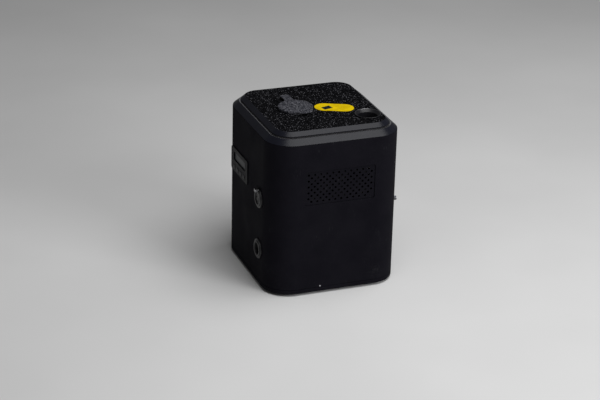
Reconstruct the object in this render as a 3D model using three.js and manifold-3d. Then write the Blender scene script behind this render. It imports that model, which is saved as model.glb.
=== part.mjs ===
import * as THREE from 'three';
import { mergeVertices } from 'three/addons/utils/BufferGeometryUtils.js';
import Module from 'manifold-3d';

// Cold spark machine: a tower that feeds metal granules through a heated barrel
// and blows them out of the top as a fountain of sparks.
// All sizes are millimetres. X runs to the right, Y to the back and Z up.
// The front looks along -Y. Heights count from the base plate's underside until the
// last line, which stands the whole tower on its feet: there the origin is the middle
// of the footprint, on the surface under the feet.

const wasm = await Module();
wasm.setup();

// Fits shared by the whole machine
const seatGap = 0.3;
const runningGap = 0.5;
const cutOverrun = 2;

// Housing
const bodyWidth = 200;
const bodyDepth = 208;
const cornerRadius = 40;
const baseThickness = 6;
const shellHeight = 222;
const shellWall = 3;
const footHeight = 4;
const footRadius = 11;
const footTaper = 2;
const footInset = 34;
const baseSlotWidth = 5;
const baseSlotLength = 56;
const baseSlotPitch = 11;
const baseSlotCount = 5;
const baseSlotFrontOffset = 40;

// Two chamfered tiers of the top
const lowerTierInset = 9;
const lowerTierRise = 7.4;
const ledgeWidth = 1.5;
const frameLand = 7.5;
const sealThickness = 0.6;
const sealSetback = 0.6;
const sealWidth = 6;
const upperTierInset = 6.8;
const upperTierRise = 6.3;
const lidWall = 3;

// Spark outlet in the right front corner of the lid
const nozzleSideOffset = 38;
const nozzleFrontOffset = 52;
const nozzleMouthRadius = 18;
const nozzleThroatRadius = 14;
const nozzleChamferDepth = 4;
const nozzleLipWidth = 1.2;
const nozzleLipRise = 1.2;
const nozzleRimDepth = 12;

// Feed port and its rubber cap
const portLeftOffset = 70;
const portFrontOffset = 101;
const portRadius = 17.5;
const collarWall = 2.5;
const collarFlangeRadius = 22.5;
const collarFlangeThickness = 1.5;
const collarDrop = 5;
const capSkirtWall = 2.5;
const capThickness = 2.9;
const capEdgeRadius = 1.6;
const capPlugDepth = 9;
const capPlugHollowRadius = 13;
const capTabLength = 49;
const capTabNeckWidth = 13;
const capTabEndWidth = 14.5;
const capTabThickness = 2.4;
const capTabRootShare = 0.66;
const capTabNeckShare = 0.6;

// Perforated front grille
const grilleCentreX = 2.5;
const grilleCentreHeight = 161.5;
const grilleHolePitch = 9.05;
const grilleRowPitch = 4.5;
const grilleRows = 10;
const grilleRowHoles = 11;
const grilleHoleRadius = 1.65;
const grilleMargin = 3.4;
const grilleThickness = 1.2;
const grilleRecess = 1;
const grilleCorner = 3;
const grilleSeatWidth = 2.4;

// Cooling fans behind the grille
const fanSize = 40;
const fanDepth = 15;
const fanSpacing = 44;
const fanWall = 1.5;
const fanHubRadius = 11;
const fanMountThickness = 3;
const fanSpokeWidth = 3;
const fanBladeCount = 7;
const fanBladeThickness = 1;
const fanBladeChord = 13;
const fanBladeCamber = 1.2;
const fanBladePitchDegrees = 38;
const fanCornerRadius = 3;

// Inner deck on its posts
const deckThickness = 2;
const deckClearance = 5;
const deckWireHoleRadius = 12;
const deckWireHoleInset = 42;
const postRadius = 5;
const postInset = 22;

// Hopper under the feed port
const hopperRadius = 28;
const hopperWall = 1.5;
const hopperNeckRadius = 7;
const hopperNeckLength = 5;
const hopperConeShare = 0.47;

// Feed screw, its barrel and its gears
const barrelRadius = 9;
const barrelWall = 2;
const barrelTail = 22;
const spigotRise = 4;
const screwShaftRadius = 3;
const screwFlightThickness = 1.4;
const screwPitch = 14;
const screwStepsPerTurn = 8;
const screwStop = 20;
const screwTail = 2;
const gearModule = 1.75;
const wheelTeeth = 24;
const pinionTeeth = 12;
const gearThickness = 8;
const gearClearance = 3;
const toothFacets = 2;
const pressureAngleDegrees = 20;
const gearBacklash = 0.35;
const rootDepthShare = 1.25;
const wheelHoleRadius = 3;
const wheelHoleCount = 5;
const motorRadius = 17;
const motorLength = 40;
const motorShaftRadius = 2.5;
const motorShaftDepth = 12;
const motorBossRadius = 6;
const motorBossHeight = 3;
const motorDeckGap = 3;
const bracketThickness = 3;
const bracketHalfWidth = 22;
const bracketFoot = 14;
const bracketMargin = 5;

// Heated spark barrel
const sparkTubeWall = 2;
const coilWireRadius = 2.2;
const coilPitch = 8.8;
const coilStepsPerTurn = 10;
const jacketLengthShare = 0.2427;
const jacketClearance = 12;
const jacketHeadroom = 7;
const jacketWall = 2.5;
const jacketLift = 8;

// Blower and its air duct
const impellerRadius = 27;
const impellerHubRadius = 9;
const impellerBladeCount = 14;
const impellerBladeDepth = 8;
const impellerBladeThickness = 1.2;
const impellerBladeSweepDegrees = 14;
const impellerDisc = 2;
const impellerRing = 1.5;
const voluteTongueGap = 4;
const voluteGrowth = 8;
const voluteWall = 2;
const voluteHeight = 28;
const voluteOutletWidth = 22;
const voluteOutletLength = 42;
const blowerInletRadius = 20;
const blowerCoverThickness = 2;
const blowerPinRadius = 3;
const blowerPinLength = 14;
const ductBendRadius = 25;
const ductWall = 2;
const ductFlangeThickness = 2;

// Power supply and boards
const supplyBlowerGap = 10;
const supplyLength = 100;
const supplyHeight = 42;
const supplyInset = 14;
const supplyBackOffset = 32;
const supplySlotWidth = 2.5;
const supplySlotDepth = 1.2;
const supplySlotPitch = 8;
const supplySlotCount = 9;
const ventShare = 0.7;
const terminalBlockLength = 12;
const terminalBlockHeight = 14;
const boardThickness = 1.6;
const controlBoardMargin = 5;
const controlBoardHeight = 62;
const controlBoardRise = 24;
const standoffLength = 8;
const standoffRadius = 3;
const standoffInset = 6;
const chipHeight = 4;
const chipSize = 16;
const capacitorRadius = 5;
const capacitorHeight = 14;
const driverBoardWidth = 50;
const driverBoardLength = 50;
const driverSideOffset = 43;
const driverBackOffset = 50;
const sinkFinCount = 7;
const sinkFinThickness = 1.6;
const sinkFinHeight = 22;
const sinkBase = 4;

// Round sockets on the side walls, and how far fittings stand out of these walls
const sideReach = 7.3;
const socketFrontOffset = 52;
const upperSocketHeight = 134;
const lowerSocketHeight = 55;
const socketFlangeRadius = 14.5;
const socketFlangeThickness = 2;
const socketRadius = 12;
const socketRingRise = 1.4;
const socketDepth = 14;
const dataBoreRadius = 8.6;
const dataInsertThickness = 3;
const dataPinCircle = 5;
const dataPinRadius = 1.2;
const dataPinLength = 9;
const dataFaceSetback = 1.5;
const latchWidth = 7;
const latchHeight = 4;
const latchFloor = 0.4;
const latchTravel = 1;
const latchBottom = 10.4;
const powerBoreRadius = 10.5;
const powerCoreRadius = 5.4;
const powerFloor = 3;
const powerCoreSetback = 1;
const powerKeyWidth = 2.4;

// Menu panel on the left wall
const menuBackOffset = 70;
const menuCentreHeight = 151;
const bezelWidth = 72;
const bezelHeight = 36;
const bezelThickness = 1.2;
const bezelCorner = 4;
const windowWidth = 52;
const windowHeight = 15;
const windowThickness = 1.2;
const windowRaise = 5.5;
const windowLap = 1;
const buttonRadius = 3.6;
const buttonPitch = 14;
const buttonDrop = 11;
const buttonProud = 1;
const buttonTravel = 0.8;
const buttonRim = 1;
const buttonEdge = 0.5;
const buttonCount = 4;
const menuBoardGap = 5;
const menuBoardMargin = 4;

// Switch, fuse and aerial socket on the right wall
const switchBackOffset = 92;
const switchHeight = 54;
const switchWall = 1;
const switchFlange = 1.5;
const switchFrameRise = 1.5;
const switchBodyDepth = 12;
const rockerWidth = 10;
const rockerLength = 17;
const rockerRise = 2.2;
const rockerDip = 1;
const rockerDepth = 5;
const rockerPivotDepth = 2;
const rockerTiltDegrees = 7;
const rockerEndGap = 0.9;
const fuseHeight = 135;
const fuseFlangeRadius = 9;
const fuseFlangeThickness = 2;
const fuseBodyRadius = 7;
const fuseBodyDepth = 24;
const fuseCapRadius = 5.4;
const fuseCapDepth = 12;
const fuseSlotWidth = 1.2;
const fuseSlotDepth = 1;
const aerialFrontOffset = 41;
const aerialDrop = 2.9;
const aerialRadius = 3.1;
const aerialNutRadius = 4.6;
const aerialNutThickness = 2;
const aerialBoreRadius = 2.2;
const aerialBoreDepth = 5;
const aerialTail = 6;

// Exhaust slots in the back wall
const rearSlotWidth = 62;
const rearSlotHeight = 4;
const rearSlotPitch = 9;
const rearSlotCount = 6;
const rearSlotTopDrop = 22;

// Facets of round forms
const wideFacets = 20;
const roundFacets = 16;
const ductFacets = 12;
const smallFacets = 8;
const tinyFacets = 6;
const hexFacets = 6;
const smallCornerFacets = 2;
const capEdgeFacets = 3;
const coilWireFacets = 5;
const cornerFacets = 6;
const grilleHoleFacets = 6;
const bladeFacets = 4;

// Heights that follow from the sizes above
const shellBottom = baseThickness + seatGap;
const shellTop = shellBottom + shellHeight;
const frameBottom = shellTop + seatGap;
const frameTop = frameBottom + lowerTierRise;
const sealBottom = frameTop + seatGap;
const lidBottom = sealBottom + sealThickness + seatGap;
const lidTop = lidBottom + upperTierRise;
const lidUnderside = lidTop - lidWall;

// The heater hangs below the outlet, the feed drive below the heater and the deck below both
const barrelOuter = barrelRadius + barrelWall;
const gearCentres = gearModule * (wheelTeeth + pinionTeeth) / 2;
const jacketTop = lidTop - nozzleRimDepth - jacketHeadroom;
const jacketBottom = jacketTop - shellHeight * jacketLengthShare;
const screwHeight = jacketBottom - jacketLift - barrelOuter;
const motorAxisHeight = screwHeight - gearCentres;
const deckTop = motorAxisHeight - motorRadius - motorDeckGap;

// Places in plan
const lidFootInset = lowerTierInset + ledgeWidth;
const frameOpeningInset = lidFootInset + frameLand;
const nozzleX = bodyWidth / 2 - nozzleSideOffset;
const nozzleY = -bodyDepth / 2 + nozzleFrontOffset;
const portX = -bodyWidth / 2 + portLeftOffset;
const portY = -bodyDepth / 2 + portFrontOffset;
const feedAngle = Math.atan2(nozzleY - portY, nozzleX - portX);
const feedLength = Math.hypot(nozzleX - portX, nozzleY - portY);
const innerWidth = bodyWidth - 2 * shellWall;
const capRadius = collarFlangeRadius + runningGap + capSkirtWall;

// Grille size, worked out from its hole field
const grilleWidth = (grilleRowHoles - 1 / 2) * grilleHolePitch
  + 2 * (grilleHoleRadius + grilleMargin);
const grilleHeight = (grilleRows - 1) * grilleRowPitch + 2 * (grilleHoleRadius + grilleMargin);

// Finishes
const finish = (color, roughness, metalness) =>
  new THREE.MeshStandardMaterial({ color, roughness, metalness });
const blackPaint = finish('#15141a', 0.55, 0.2);
const gritPaint = finish('#17171c', 0.85, 0.2);
const blackPlastic = finish('#1a1a1e', 0.6, 0);
const greyRubber = finish('#46484e', 0.9, 0);
const blackRubber = finish('#141416', 0.9, 0);
const brightSteel = finish('#b9bcc2', 0.25, 1);
const dullSteel = finish('#8f9296', 0.45, 1);
const aluminium = finish('#c3c6cb', 0.4, 1);
const copper = finish('#b8683a', 0.35, 1);
const brass = finish('#c9a24a', 0.3, 1);
const ceramic = finish('#d8d2c6', 0.8, 0);
const boardGreen = finish('#1f5a38', 0.6, 0);
const bluePlastic = finish('#2458a8', 0.5, 0);
const greyPlastic = finish('#8a8d92', 0.5, 0);
const darkGlass = finish('#0c1a22', 0.1, 0);
const gearPlastic = finish('#d9d6cc', 0.5, 0);

// Directions: the local z of a panel group points out of the wall that carries it
const basis = (xAxis, yAxis, zAxis) =>
  new THREE.Matrix4().makeBasis(new THREE.Vector3(...xAxis), new THREE.Vector3(...yAxis),
    new THREE.Vector3(...zAxis));
const outOfFront = basis([1, 0, 0], [0, 0, 1], [0, -1, 0]);
const outOfBack = basis([-1, 0, 0], [0, 0, 1], [0, 1, 0]);
const outOfLeft = basis([0, -1, 0], [0, 0, 1], [-1, 0, 0]);
const outOfRight = basis([0, 1, 0], [0, 0, 1], [1, 0, 0]);

// Geometry helpers

function toSolid(geometry) {
  const bare = new THREE.BufferGeometry();
  bare.setAttribute('position', geometry.getAttribute('position').clone());
  bare.setIndex(geometry.getIndex());
  const merged = mergeVertices(bare);
  const index = Array.from(merged.getIndex().array);
  const kept = [];
  for (let i = 0; i < index.length; i += 3) {
    const [a, b, c] = index.slice(i, i + 3);
    if (a !== b && b !== c && c !== a) {
      kept.push(a, b, c);
    }
  }
  return new wasm.Manifold(new wasm.Mesh({
    numProp: 3,
    vertProperties: new Float32Array(merged.getAttribute('position').array),
    triVerts: new Uint32Array(kept),
  }));
}

function toGeometry(solid) {
  const mesh = solid.getMesh();
  const geometry = new THREE.BufferGeometry();
  const position = new THREE.BufferAttribute(new Float32Array(mesh.vertProperties), 3);
  geometry.setAttribute('position', position);
  geometry.setIndex(Array.from(mesh.triVerts));
  return geometry;
}

function cut(body, ...tools) {
  let solid = toSolid(body);
  for (const tool of tools) {
    solid = solid.subtract(toSolid(tool));
  }
  return toGeometry(solid);
}

function join(body, ...others) {
  let solid = toSolid(body);
  for (const other of others) {
    solid = solid.add(toSolid(other));
  }
  return toGeometry(solid);
}

// The points of a rectangle with round corners, counter-clockwise from its right side
function roundedCorners(width, height, radius, facets) {
  const points = [];
  for (let corner = 0; corner < 4; corner += 1) {
    const signX = corner === 0 || corner === 3 ? 1 : -1;
    const signY = corner < 2 ? 1 : -1;
    for (let step = 0; step <= facets; step += 1) {
      const angle = (corner + step / facets) * Math.PI / 2;
      const x = signX * (width / 2 - radius) + radius * Math.cos(angle);
      const y = signY * (height / 2 - radius) + radius * Math.sin(angle);
      points.push([x, y]);
    }
  }
  return points;
}

function roundedRect(width, height, radius, x = 0, y = 0, facets = smallCornerFacets) {
  const corners = roundedCorners(width, height, radius, facets);
  return polygon(corners.map(([cornerX, cornerY]) => [x + cornerX, y + cornerY]));
}

function circle(radius, centreX = 0, centreY = 0) {
  const path = new THREE.Shape();
  path.absarc(centreX, centreY, radius, 0, Math.PI * 2);
  return path;
}

// The radius of a faceted hole that clears a round piece however that is turned
function clearRadius(radius, facets) {
  return radius / Math.cos(Math.PI / facets);
}

function polygon(points) {
  return new THREE.Shape(points.map(([x, y]) => new THREE.Vector2(x, y)));
}

// A shape drawn in XY and raised from one height to another
function prism(shape, low, high, facets = tinyFacets) {
  const options = { depth: high - low, bevelEnabled: false, curveSegments: facets / 2 };
  return new THREE.ExtrudeGeometry(shape, options).translate(0, 0, low);
}

function disc(radius, low, high, facets, x = 0, y = 0) {
  return revolve([[0, low], [radius, low], [radius, high], [0, high]], facets).translate(x, y, 0);
}

// A profile of radius and height points, drawn counter-clockwise, turned about Z
function revolve(profile, facets) {
  const points = profile.map(([radius, height]) => new THREE.Vector2(radius, height));
  return new THREE.LatheGeometry(points, facets).rotateX(Math.PI / 2);
}

function tube(innerRadius, outerRadius, low, high, facets) {
  const outline = [[innerRadius, low], [outerRadius, low], [outerRadius, high],
    [innerRadius, high], [innerRadius, low]];
  return revolve(outline, facets);
}

function block(lowCorner, highCorner) {
  const size = highCorner.map((high, axis) => high - lowCorner[axis]);
  const centre = highCorner.map((high, axis) => (high + lowCorner[axis]) / 2);
  return new THREE.BoxGeometry(...size).translate(...centre);
}

// The tower's plan outline, drawn in by an inset
function planCorners(inset) {
  return roundedCorners(bodyWidth - 2 * inset, bodyDepth - 2 * inset, cornerRadius - inset,
    cornerFacets);
}

function planOutline(inset) {
  return polygon(planCorners(inset));
}

function planLoop(inset, height) {
  return planCorners(inset).map(([x, y]) => new THREE.Vector3(x, y, height));
}

// Closed loops of equal length joined by side faces and closed by flat ends
function loft(loops) {
  const count = loops[0].length;
  const positions = loops.flat().flatMap((point) => [point.x, point.y, point.z]);
  const index = [];
  for (let level = 0; level < loops.length - 1; level += 1) {
    for (let i = 0; i < count; i += 1) {
      const a = level * count + i;
      const b = level * count + (i + 1) % count;
      index.push(a, b, b + count, a, b + count, a + count);
    }
  }
  const last = (loops.length - 1) * count;
  for (let i = 1; i < count - 1; i += 1) {
    index.push(0, i + 1, i);
    index.push(last, last + i, last + i + 1);
  }
  const geometry = new THREE.BufferGeometry();
  geometry.setAttribute('position', new THREE.Float32BufferAttribute(positions, 3));
  geometry.setIndex(index);
  return geometry;
}

const machine = new THREE.Group();

function addPiece(parent, name, geometry, material) {
  const mesh = new THREE.Mesh(geometry, material);
  mesh.name = name;
  parent.add(mesh);
  return mesh;
}

// A group on a wall: local x runs level, local y up and local z out of the wall
function wallGroup(direction, x, y) {
  const group = new THREE.Group();
  group.quaternion.setFromRotationMatrix(direction);
  group.position.set(x, y, 0);
  machine.add(group);
  return group;
}

const frontWall = wallGroup(outOfFront, 0, -bodyDepth / 2);
const backWall = wallGroup(outOfBack, 0, bodyDepth / 2);
const leftWall = wallGroup(outOfLeft, -bodyWidth / 2, 0);
const rightWall = wallGroup(outOfRight, bodyWidth / 2, 0);

// A cutting tool drawn in a wall's own directions, moved into the machine's frame
function inWall(wall, geometry) {
  wall.updateMatrix();
  return geometry.applyMatrix4(wall.matrix);
}

// Level places on the side walls, measured in each wall's own direction
const leftSocketX = bodyDepth / 2 - socketFrontOffset;
const rightSocketX = -leftSocketX;
const menuX = -(bodyDepth / 2 - menuBackOffset);
const rightBackX = bodyDepth / 2 - switchBackOffset;
const aerialX = -(bodyDepth / 2 - aerialFrontOffset);
const aerialHeight = upperSocketHeight - socketFlangeRadius - aerialNutRadius - aerialDrop;
const socketHeights = [upperSocketHeight, lowerSocketHeight];
const menuButtonHeight = menuCentreHeight - buttonDrop;

// Places that several pieces share
const sparkTubeRadius = nozzleThroatRadius + sparkTubeWall;
const bracketFront = -barrelTail - seatGap;
const bracketBack = bracketFront - bracketThickness;
const gearFront = bracketBack - gearClearance;
const gearBack = gearFront - gearThickness;
const spigotTop = screwHeight + barrelOuter + spigotRise;
const blowerFloor = baseThickness + seatGap;
const voluteMin = impellerRadius + voluteTongueGap;
const voluteMax = voluteMin + voluteGrowth;
const blowerX = nozzleX - voluteMax + voluteOutletWidth / 2;
const ductStartY = nozzleY + ductBendRadius + ductFlangeThickness;
const blowerY = ductStartY + seatGap + voluteOutletLength;
const ductHeight = blowerFloor + voluteHeight / 2;
const ductTop = ductHeight + ductBendRadius + ductFlangeThickness;
const jacketRadius = sparkTubeRadius + jacketClearance;
const flangeTop = seatGap + socketFlangeThickness;
const socketRingTop = flangeTop + socketRingRise;
const switchInnerWidth = rockerWidth + 2 * runningGap;
const switchInnerHeight = rockerLength + 2 * rockerEndGap;
const switchBodyWidth = switchInnerWidth + 2 * switchWall;
const switchBodyHeight = switchInnerHeight + 2 * switchWall;
const switchFrameTop = seatGap + switchFrameRise;
const rockerTilt = THREE.MathUtils.degToRad(rockerTiltDegrees);

// Housing

function basePlate() {
  const slots = [];
  const middle = (baseSlotCount - 1) / 2;
  for (let i = 0; i < baseSlotCount; i += 1) {
    const y = -bodyDepth / 2 + baseSlotFrontOffset + (i - middle) * baseSlotPitch;
    const outline = roundedRect(baseSlotLength, baseSlotWidth, baseSlotWidth / 2, 0, y);
    slots.push(prism(outline, -cutOverrun, baseThickness + cutOverrun));
  }
  return cut(prism(planOutline(0), 0, baseThickness), ...slots);
}

function foot() {
  return revolve([[0, -footHeight], [footRadius - footTaper, -footHeight],
    [footRadius, -seatGap], [0, -seatGap]], roundFacets);
}

function wallHole(wall, radius, x, y, facets) {
  return inWall(wall, disc(radius, -shellWall - cutOverrun, cutOverrun, facets, x, y));
}

function wallWindow(wall, width, height, radius, x, y, depth) {
  return inWall(wall, prism(roundedRect(width, height, radius, x, y), -depth, cutOverrun));
}

function bodyShell() {
  const through = shellWall + cutOverrun;
  const outline = planOutline(0);
  outline.holes.push(planOutline(shellWall));
  const tools = [];
  const grilleSeat = 2 * grilleSeatWidth;
  tools.push(wallWindow(frontWall, grilleWidth - grilleSeat, grilleHeight - grilleSeat,
    grilleCorner, grilleCentreX, grilleCentreHeight, through));
  tools.push(wallWindow(frontWall, grilleWidth + 2 * seatGap, grilleHeight + 2 * seatGap,
    grilleCorner, grilleCentreX, grilleCentreHeight, grilleRecess + grilleThickness + seatGap));
  for (const height of socketHeights) {
    tools.push(wallHole(leftWall, socketRadius + seatGap, leftSocketX, height, roundFacets));
    tools.push(wallHole(rightWall, socketRadius + seatGap, rightSocketX, height, roundFacets));
  }
  tools.push(wallWindow(leftWall, windowWidth + 2 * seatGap, windowHeight + 2 * seatGap,
    seatGap, menuX, menuCentreHeight + windowRaise, through));
  for (let i = 0; i < buttonCount; i += 1) {
    tools.push(wallHole(leftWall, buttonRadius + seatGap, menuButtonX(i), menuButtonHeight,
      smallFacets));
  }
  tools.push(wallWindow(rightWall, switchBodyWidth + 2 * seatGap, switchBodyHeight + 2 * seatGap,
    seatGap, rightBackX, switchHeight, through));
  tools.push(wallHole(rightWall, fuseBodyRadius + seatGap, rightBackX, fuseHeight, smallFacets));
  tools.push(wallHole(rightWall, aerialRadius + seatGap, aerialX, aerialHeight, smallFacets));
  for (let i = 0; i < rearSlotCount; i += 1) {
    const height = shellTop - rearSlotTopDrop - i * rearSlotPitch;
    tools.push(wallWindow(backWall, rearSlotWidth, rearSlotHeight, rearSlotHeight / 2,
      0, height, through));
  }
  return cut(prism(outline, shellBottom, shellTop), ...tools);
}

// The lower tier: a frame with a chamfered outside and a level ledge for the lid
function topFrame() {
  const body = loft([planLoop(0, frameBottom), planLoop(lowerTierInset, frameTop)]);
  const opening = planOutline(frameOpeningInset);
  return cut(body, prism(opening, frameBottom - cutOverrun, frameTop + cutOverrun));
}

function topSeal() {
  const outline = planOutline(lidFootInset + sealSetback);
  outline.holes.push(planOutline(lidFootInset + sealSetback + sealWidth));
  return prism(outline, sealBottom, sealBottom + sealThickness);
}

// The upper tier: a pan with a chamfered outside, hollow below its flat top
function topLid() {
  const low = lidBottom - cutOverrun;
  const high = lidTop + cutOverrun;
  const body = loft([
    planLoop(lidFootInset, lidBottom),
    planLoop(lidFootInset + upperTierInset, lidTop),
  ]);
  const hollow = prism(planOutline(frameOpeningInset), low, lidUnderside);
  const portHoleRadius = portRadius + collarWall + seatGap;
  const portHole = disc(portHoleRadius, low, high, wideFacets, portX, portY);
  const nozzleHole = disc(nozzleMouthRadius + seatGap, low, high, wideFacets, nozzleX, nozzleY);
  return cut(body, hollow, portHole, nozzleHole);
}

// A bright ring whose mouth narrows to the throat along a chamfer
function nozzleRim() {
  const bottom = lidTop - nozzleRimDepth;
  const seat = lidTop + seatGap;
  const top = seat + nozzleLipRise;
  return revolve([
    [nozzleThroatRadius, bottom],
    [nozzleMouthRadius, bottom],
    [nozzleMouthRadius, seat],
    [nozzleMouthRadius + nozzleLipWidth, seat],
    [nozzleMouthRadius + nozzleLipWidth, top],
    [nozzleMouthRadius, top],
    [nozzleThroatRadius, top - nozzleChamferDepth],
    [nozzleThroatRadius, bottom],
  ], wideFacets);
}

function feedCollar() {
  const bottom = lidUnderside - collarDrop;
  const seat = lidTop + seatGap;
  const top = seat + collarFlangeThickness;
  return revolve([
    [portRadius, bottom],
    [portRadius + collarWall, bottom],
    [portRadius + collarWall, seat],
    [collarFlangeRadius, seat],
    [collarFlangeRadius, top],
    [portRadius, top],
    [portRadius, bottom],
  ], wideFacets);
}

// A rubber cap: a hollow plug, a disc whose skirt hides the collar, and a pull tab that
// points to the back
function feedCap() {
  const skirtBottom = lidTop + seatGap;
  const seat = skirtBottom + collarFlangeThickness + seatGap;
  const top = seat + capThickness;
  const plugRadius = portRadius - seatGap;
  const profile = [
    [0, seat],
    [capPlugHollowRadius, seat],
    [capPlugHollowRadius, seat - capPlugDepth],
    [plugRadius, seat - capPlugDepth],
    [plugRadius, seat],
    [capRadius - capSkirtWall, seat],
    [capRadius - capSkirtWall, skirtBottom],
    [capRadius, skirtBottom],
  ];
  for (let step = 0; step <= capEdgeFacets; step += 1) {
    const angle = step / capEdgeFacets * Math.PI / 2;
    const radius = capRadius - capEdgeRadius + capEdgeRadius * Math.cos(angle);
    profile.push([radius, top - capEdgeRadius + capEdgeRadius * Math.sin(angle)]);
  }
  profile.push([0, top]);
  return join(revolve(profile, wideFacets), prism(capTabOutline(), top - capTabThickness, top));
}

function capTabOutline() {
  const root = capRadius * capTabRootShare;
  const neck = capTabNeckWidth / 2;
  const neckY = capTabLength * capTabNeckShare;
  const endRadius = capTabEndWidth / 2;
  const endY = capTabLength - endRadius;
  const outline = new THREE.Shape();
  outline.moveTo(root, root);
  outline.quadraticCurveTo(neck, (root + neckY) / 2, neck, neckY);
  outline.quadraticCurveTo(neck, (neckY + endY) / 2, endRadius, endY);
  outline.absarc(0, endY, endRadius, 0, Math.PI);
  outline.quadraticCurveTo(-neck, (neckY + endY) / 2, -neck, neckY);
  outline.quadraticCurveTo(-neck, (root + neckY) / 2, -root, root);
  outline.closePath();
  return outline;
}

// Front grille: rows of holes, every second row shifted by half a pitch; the bottom row
// leaves out its last hole
function frontGrille() {
  const outline = roundedRect(grilleWidth, grilleHeight, grilleCorner, grilleCentreX,
    grilleCentreHeight);
  for (let row = 0; row < grilleRows; row += 1) {
    const count = row < grilleRows - 1 ? grilleRowHoles : grilleRowHoles - 1;
    const height = grilleCentreHeight + ((grilleRows - 1) / 2 - row) * grilleRowPitch;
    const shift = (row % 2 - 1 / 2) / 2 - (grilleRowHoles - 1) / 2;
    for (let i = 0; i < count; i += 1) {
      const x = grilleCentreX + (i + shift) * grilleHolePitch;
      outline.holes.push(circle(grilleHoleRadius, x, height));
    }
  }
  return prism(outline, -grilleRecess - grilleThickness, -grilleRecess, grilleHoleFacets);
}

// A square fan frame with a round bore and a motor mount on spokes at its back
function fanFrame() {
  const bore = fanSize / 2 - fanWall;
  const outline = roundedRect(fanSize, fanSize, fanCornerRadius);
  outline.holes.push(circle(bore));
  const frame = prism(outline, -fanDepth, 0, roundFacets);
  const mountTop = -fanDepth + fanMountThickness;
  const mount = disc(fanHubRadius, -fanDepth, mountTop, roundFacets);
  const reach = bore + fanWall / 2;
  const half = fanSpokeWidth / 2;
  const level = block([-reach, -half, -fanDepth], [reach, half, mountTop]);
  const upright = block([-half, -reach, -fanDepth], [half, reach, mountTop]);
  return join(frame, mount, level, upright);
}

function bladeSection(chord, thickness, camber) {
  const section = new THREE.Shape();
  section.moveTo(-chord / 2, -thickness / 2);
  section.quadraticCurveTo(0, 2 * camber - thickness / 2, chord / 2, -thickness / 2);
  section.lineTo(chord / 2, thickness / 2);
  section.quadraticCurveTo(0, 2 * camber + thickness / 2, -chord / 2, thickness / 2);
  section.closePath();
  return section;
}

function fanRotor() {
  const low = -fanDepth + fanMountThickness + runningGap;
  const high = -runningGap;
  const tip = fanSize / 2 - fanWall - runningGap;
  const hub = disc(fanHubRadius, low, high, roundFacets);
  const section = bladeSection(fanBladeChord, fanBladeThickness, fanBladeCamber);
  let blades = toSolid(hub);
  for (let i = 0; i < fanBladeCount; i += 1) {
    const blade = prism(section, fanHubRadius / 2, tip + cutOverrun, bladeFacets);
    blade.rotateZ(THREE.MathUtils.degToRad(fanBladePitchDegrees));
    blade.rotateY(Math.PI / 2);
    blade.rotateX(Math.PI / 2);
    blade.translate(0, 0, (low + high) / 2);
    blade.rotateZ(i / fanBladeCount * Math.PI * 2);
    blades = blades.add(toSolid(blade));
  }
  const envelope = toSolid(disc(tip, low, high, roundFacets));
  return toGeometry(blades.intersect(envelope));
}

// Inner deck and its posts
function deck() {
  const outline = planOutline(shellWall + deckClearance);
  outline.holes.push(circle(clearRadius(sparkTubeRadius + seatGap, roundFacets),
    nozzleX, nozzleY));
  const wireX = -bodyWidth / 2 + deckWireHoleInset;
  const wireY = bodyDepth / 2 - deckWireHoleInset;
  outline.holes.push(circle(deckWireHoleRadius, wireX, wireY));
  return prism(outline, deckTop - deckThickness, deckTop, roundFacets);
}

function deckPost() {
  const high = deckTop - deckThickness - seatGap;
  return disc(postRadius, baseThickness + seatGap, high, smallFacets);
}

// Feed drive, drawn with X along the feed screw and the feed port over the origin

function alongFeed(geometry, height) {
  return geometry.rotateY(Math.PI / 2).translate(0, 0, height);
}

function hopper() {
  const neck = hopperNeckRadius;
  const neckBottom = spigotTop + seatGap;
  const coneBottom = neckBottom + hopperNeckLength;
  const rim = lidUnderside - seatGap;
  const coneTop = coneBottom + (rim - coneBottom) * hopperConeShare;
  return revolve([
    [neck, neckBottom],
    [neck + hopperWall, neckBottom],
    [neck + hopperWall, coneBottom],
    [hopperRadius + hopperWall, coneTop],
    [hopperRadius + hopperWall, rim],
    [hopperRadius, rim],
    [hopperRadius, coneTop],
    [neck, coneBottom],
    [neck, neckBottom],
  ], roundFacets);
}

// The barrel carries an upright spigot for the hopper and ends in a saddle on the spark tube
function feedBarrel() {
  const outside = alongFeed(disc(barrelOuter, -barrelTail, feedLength, roundFacets), screwHeight);
  const spigot = disc(hopperNeckRadius + hopperWall, screwHeight, spigotTop, roundFacets);
  const bore = alongFeed(disc(barrelRadius, -barrelTail - cutOverrun, feedLength, roundFacets),
    screwHeight);
  const spigotBore = disc(hopperNeckRadius, screwHeight, spigotTop + cutOverrun, roundFacets);
  const saddle = disc(sparkTubeRadius + seatGap, screwHeight - barrelOuter - cutOverrun,
    screwHeight + barrelOuter + cutOverrun, wideFacets, feedLength);
  return cut(join(outside, spigot), bore, spigotBore, saddle);
}

// A flat ribbon wound round an axis, closed at both ends
function helixFlight(inner, outer, thickness, pitch, low, high, stepsPerTurn) {
  const steps = Math.ceil((high - low) / pitch * stepsPerTurn);
  const loops = [];
  for (let step = 0; step <= steps; step += 1) {
    const angle = step / stepsPerTurn * Math.PI * 2;
    const middle = low + (high - low) * step / steps;
    const corners = [[inner, -thickness / 2], [outer, -thickness / 2],
      [outer, thickness / 2], [inner, thickness / 2]];
    loops.push(corners.map(([radius, rise]) => new THREE.Vector3(
      radius * Math.cos(angle), radius * Math.sin(angle), middle + rise)));
  }
  return loft(loops.reverse());
}

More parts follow.
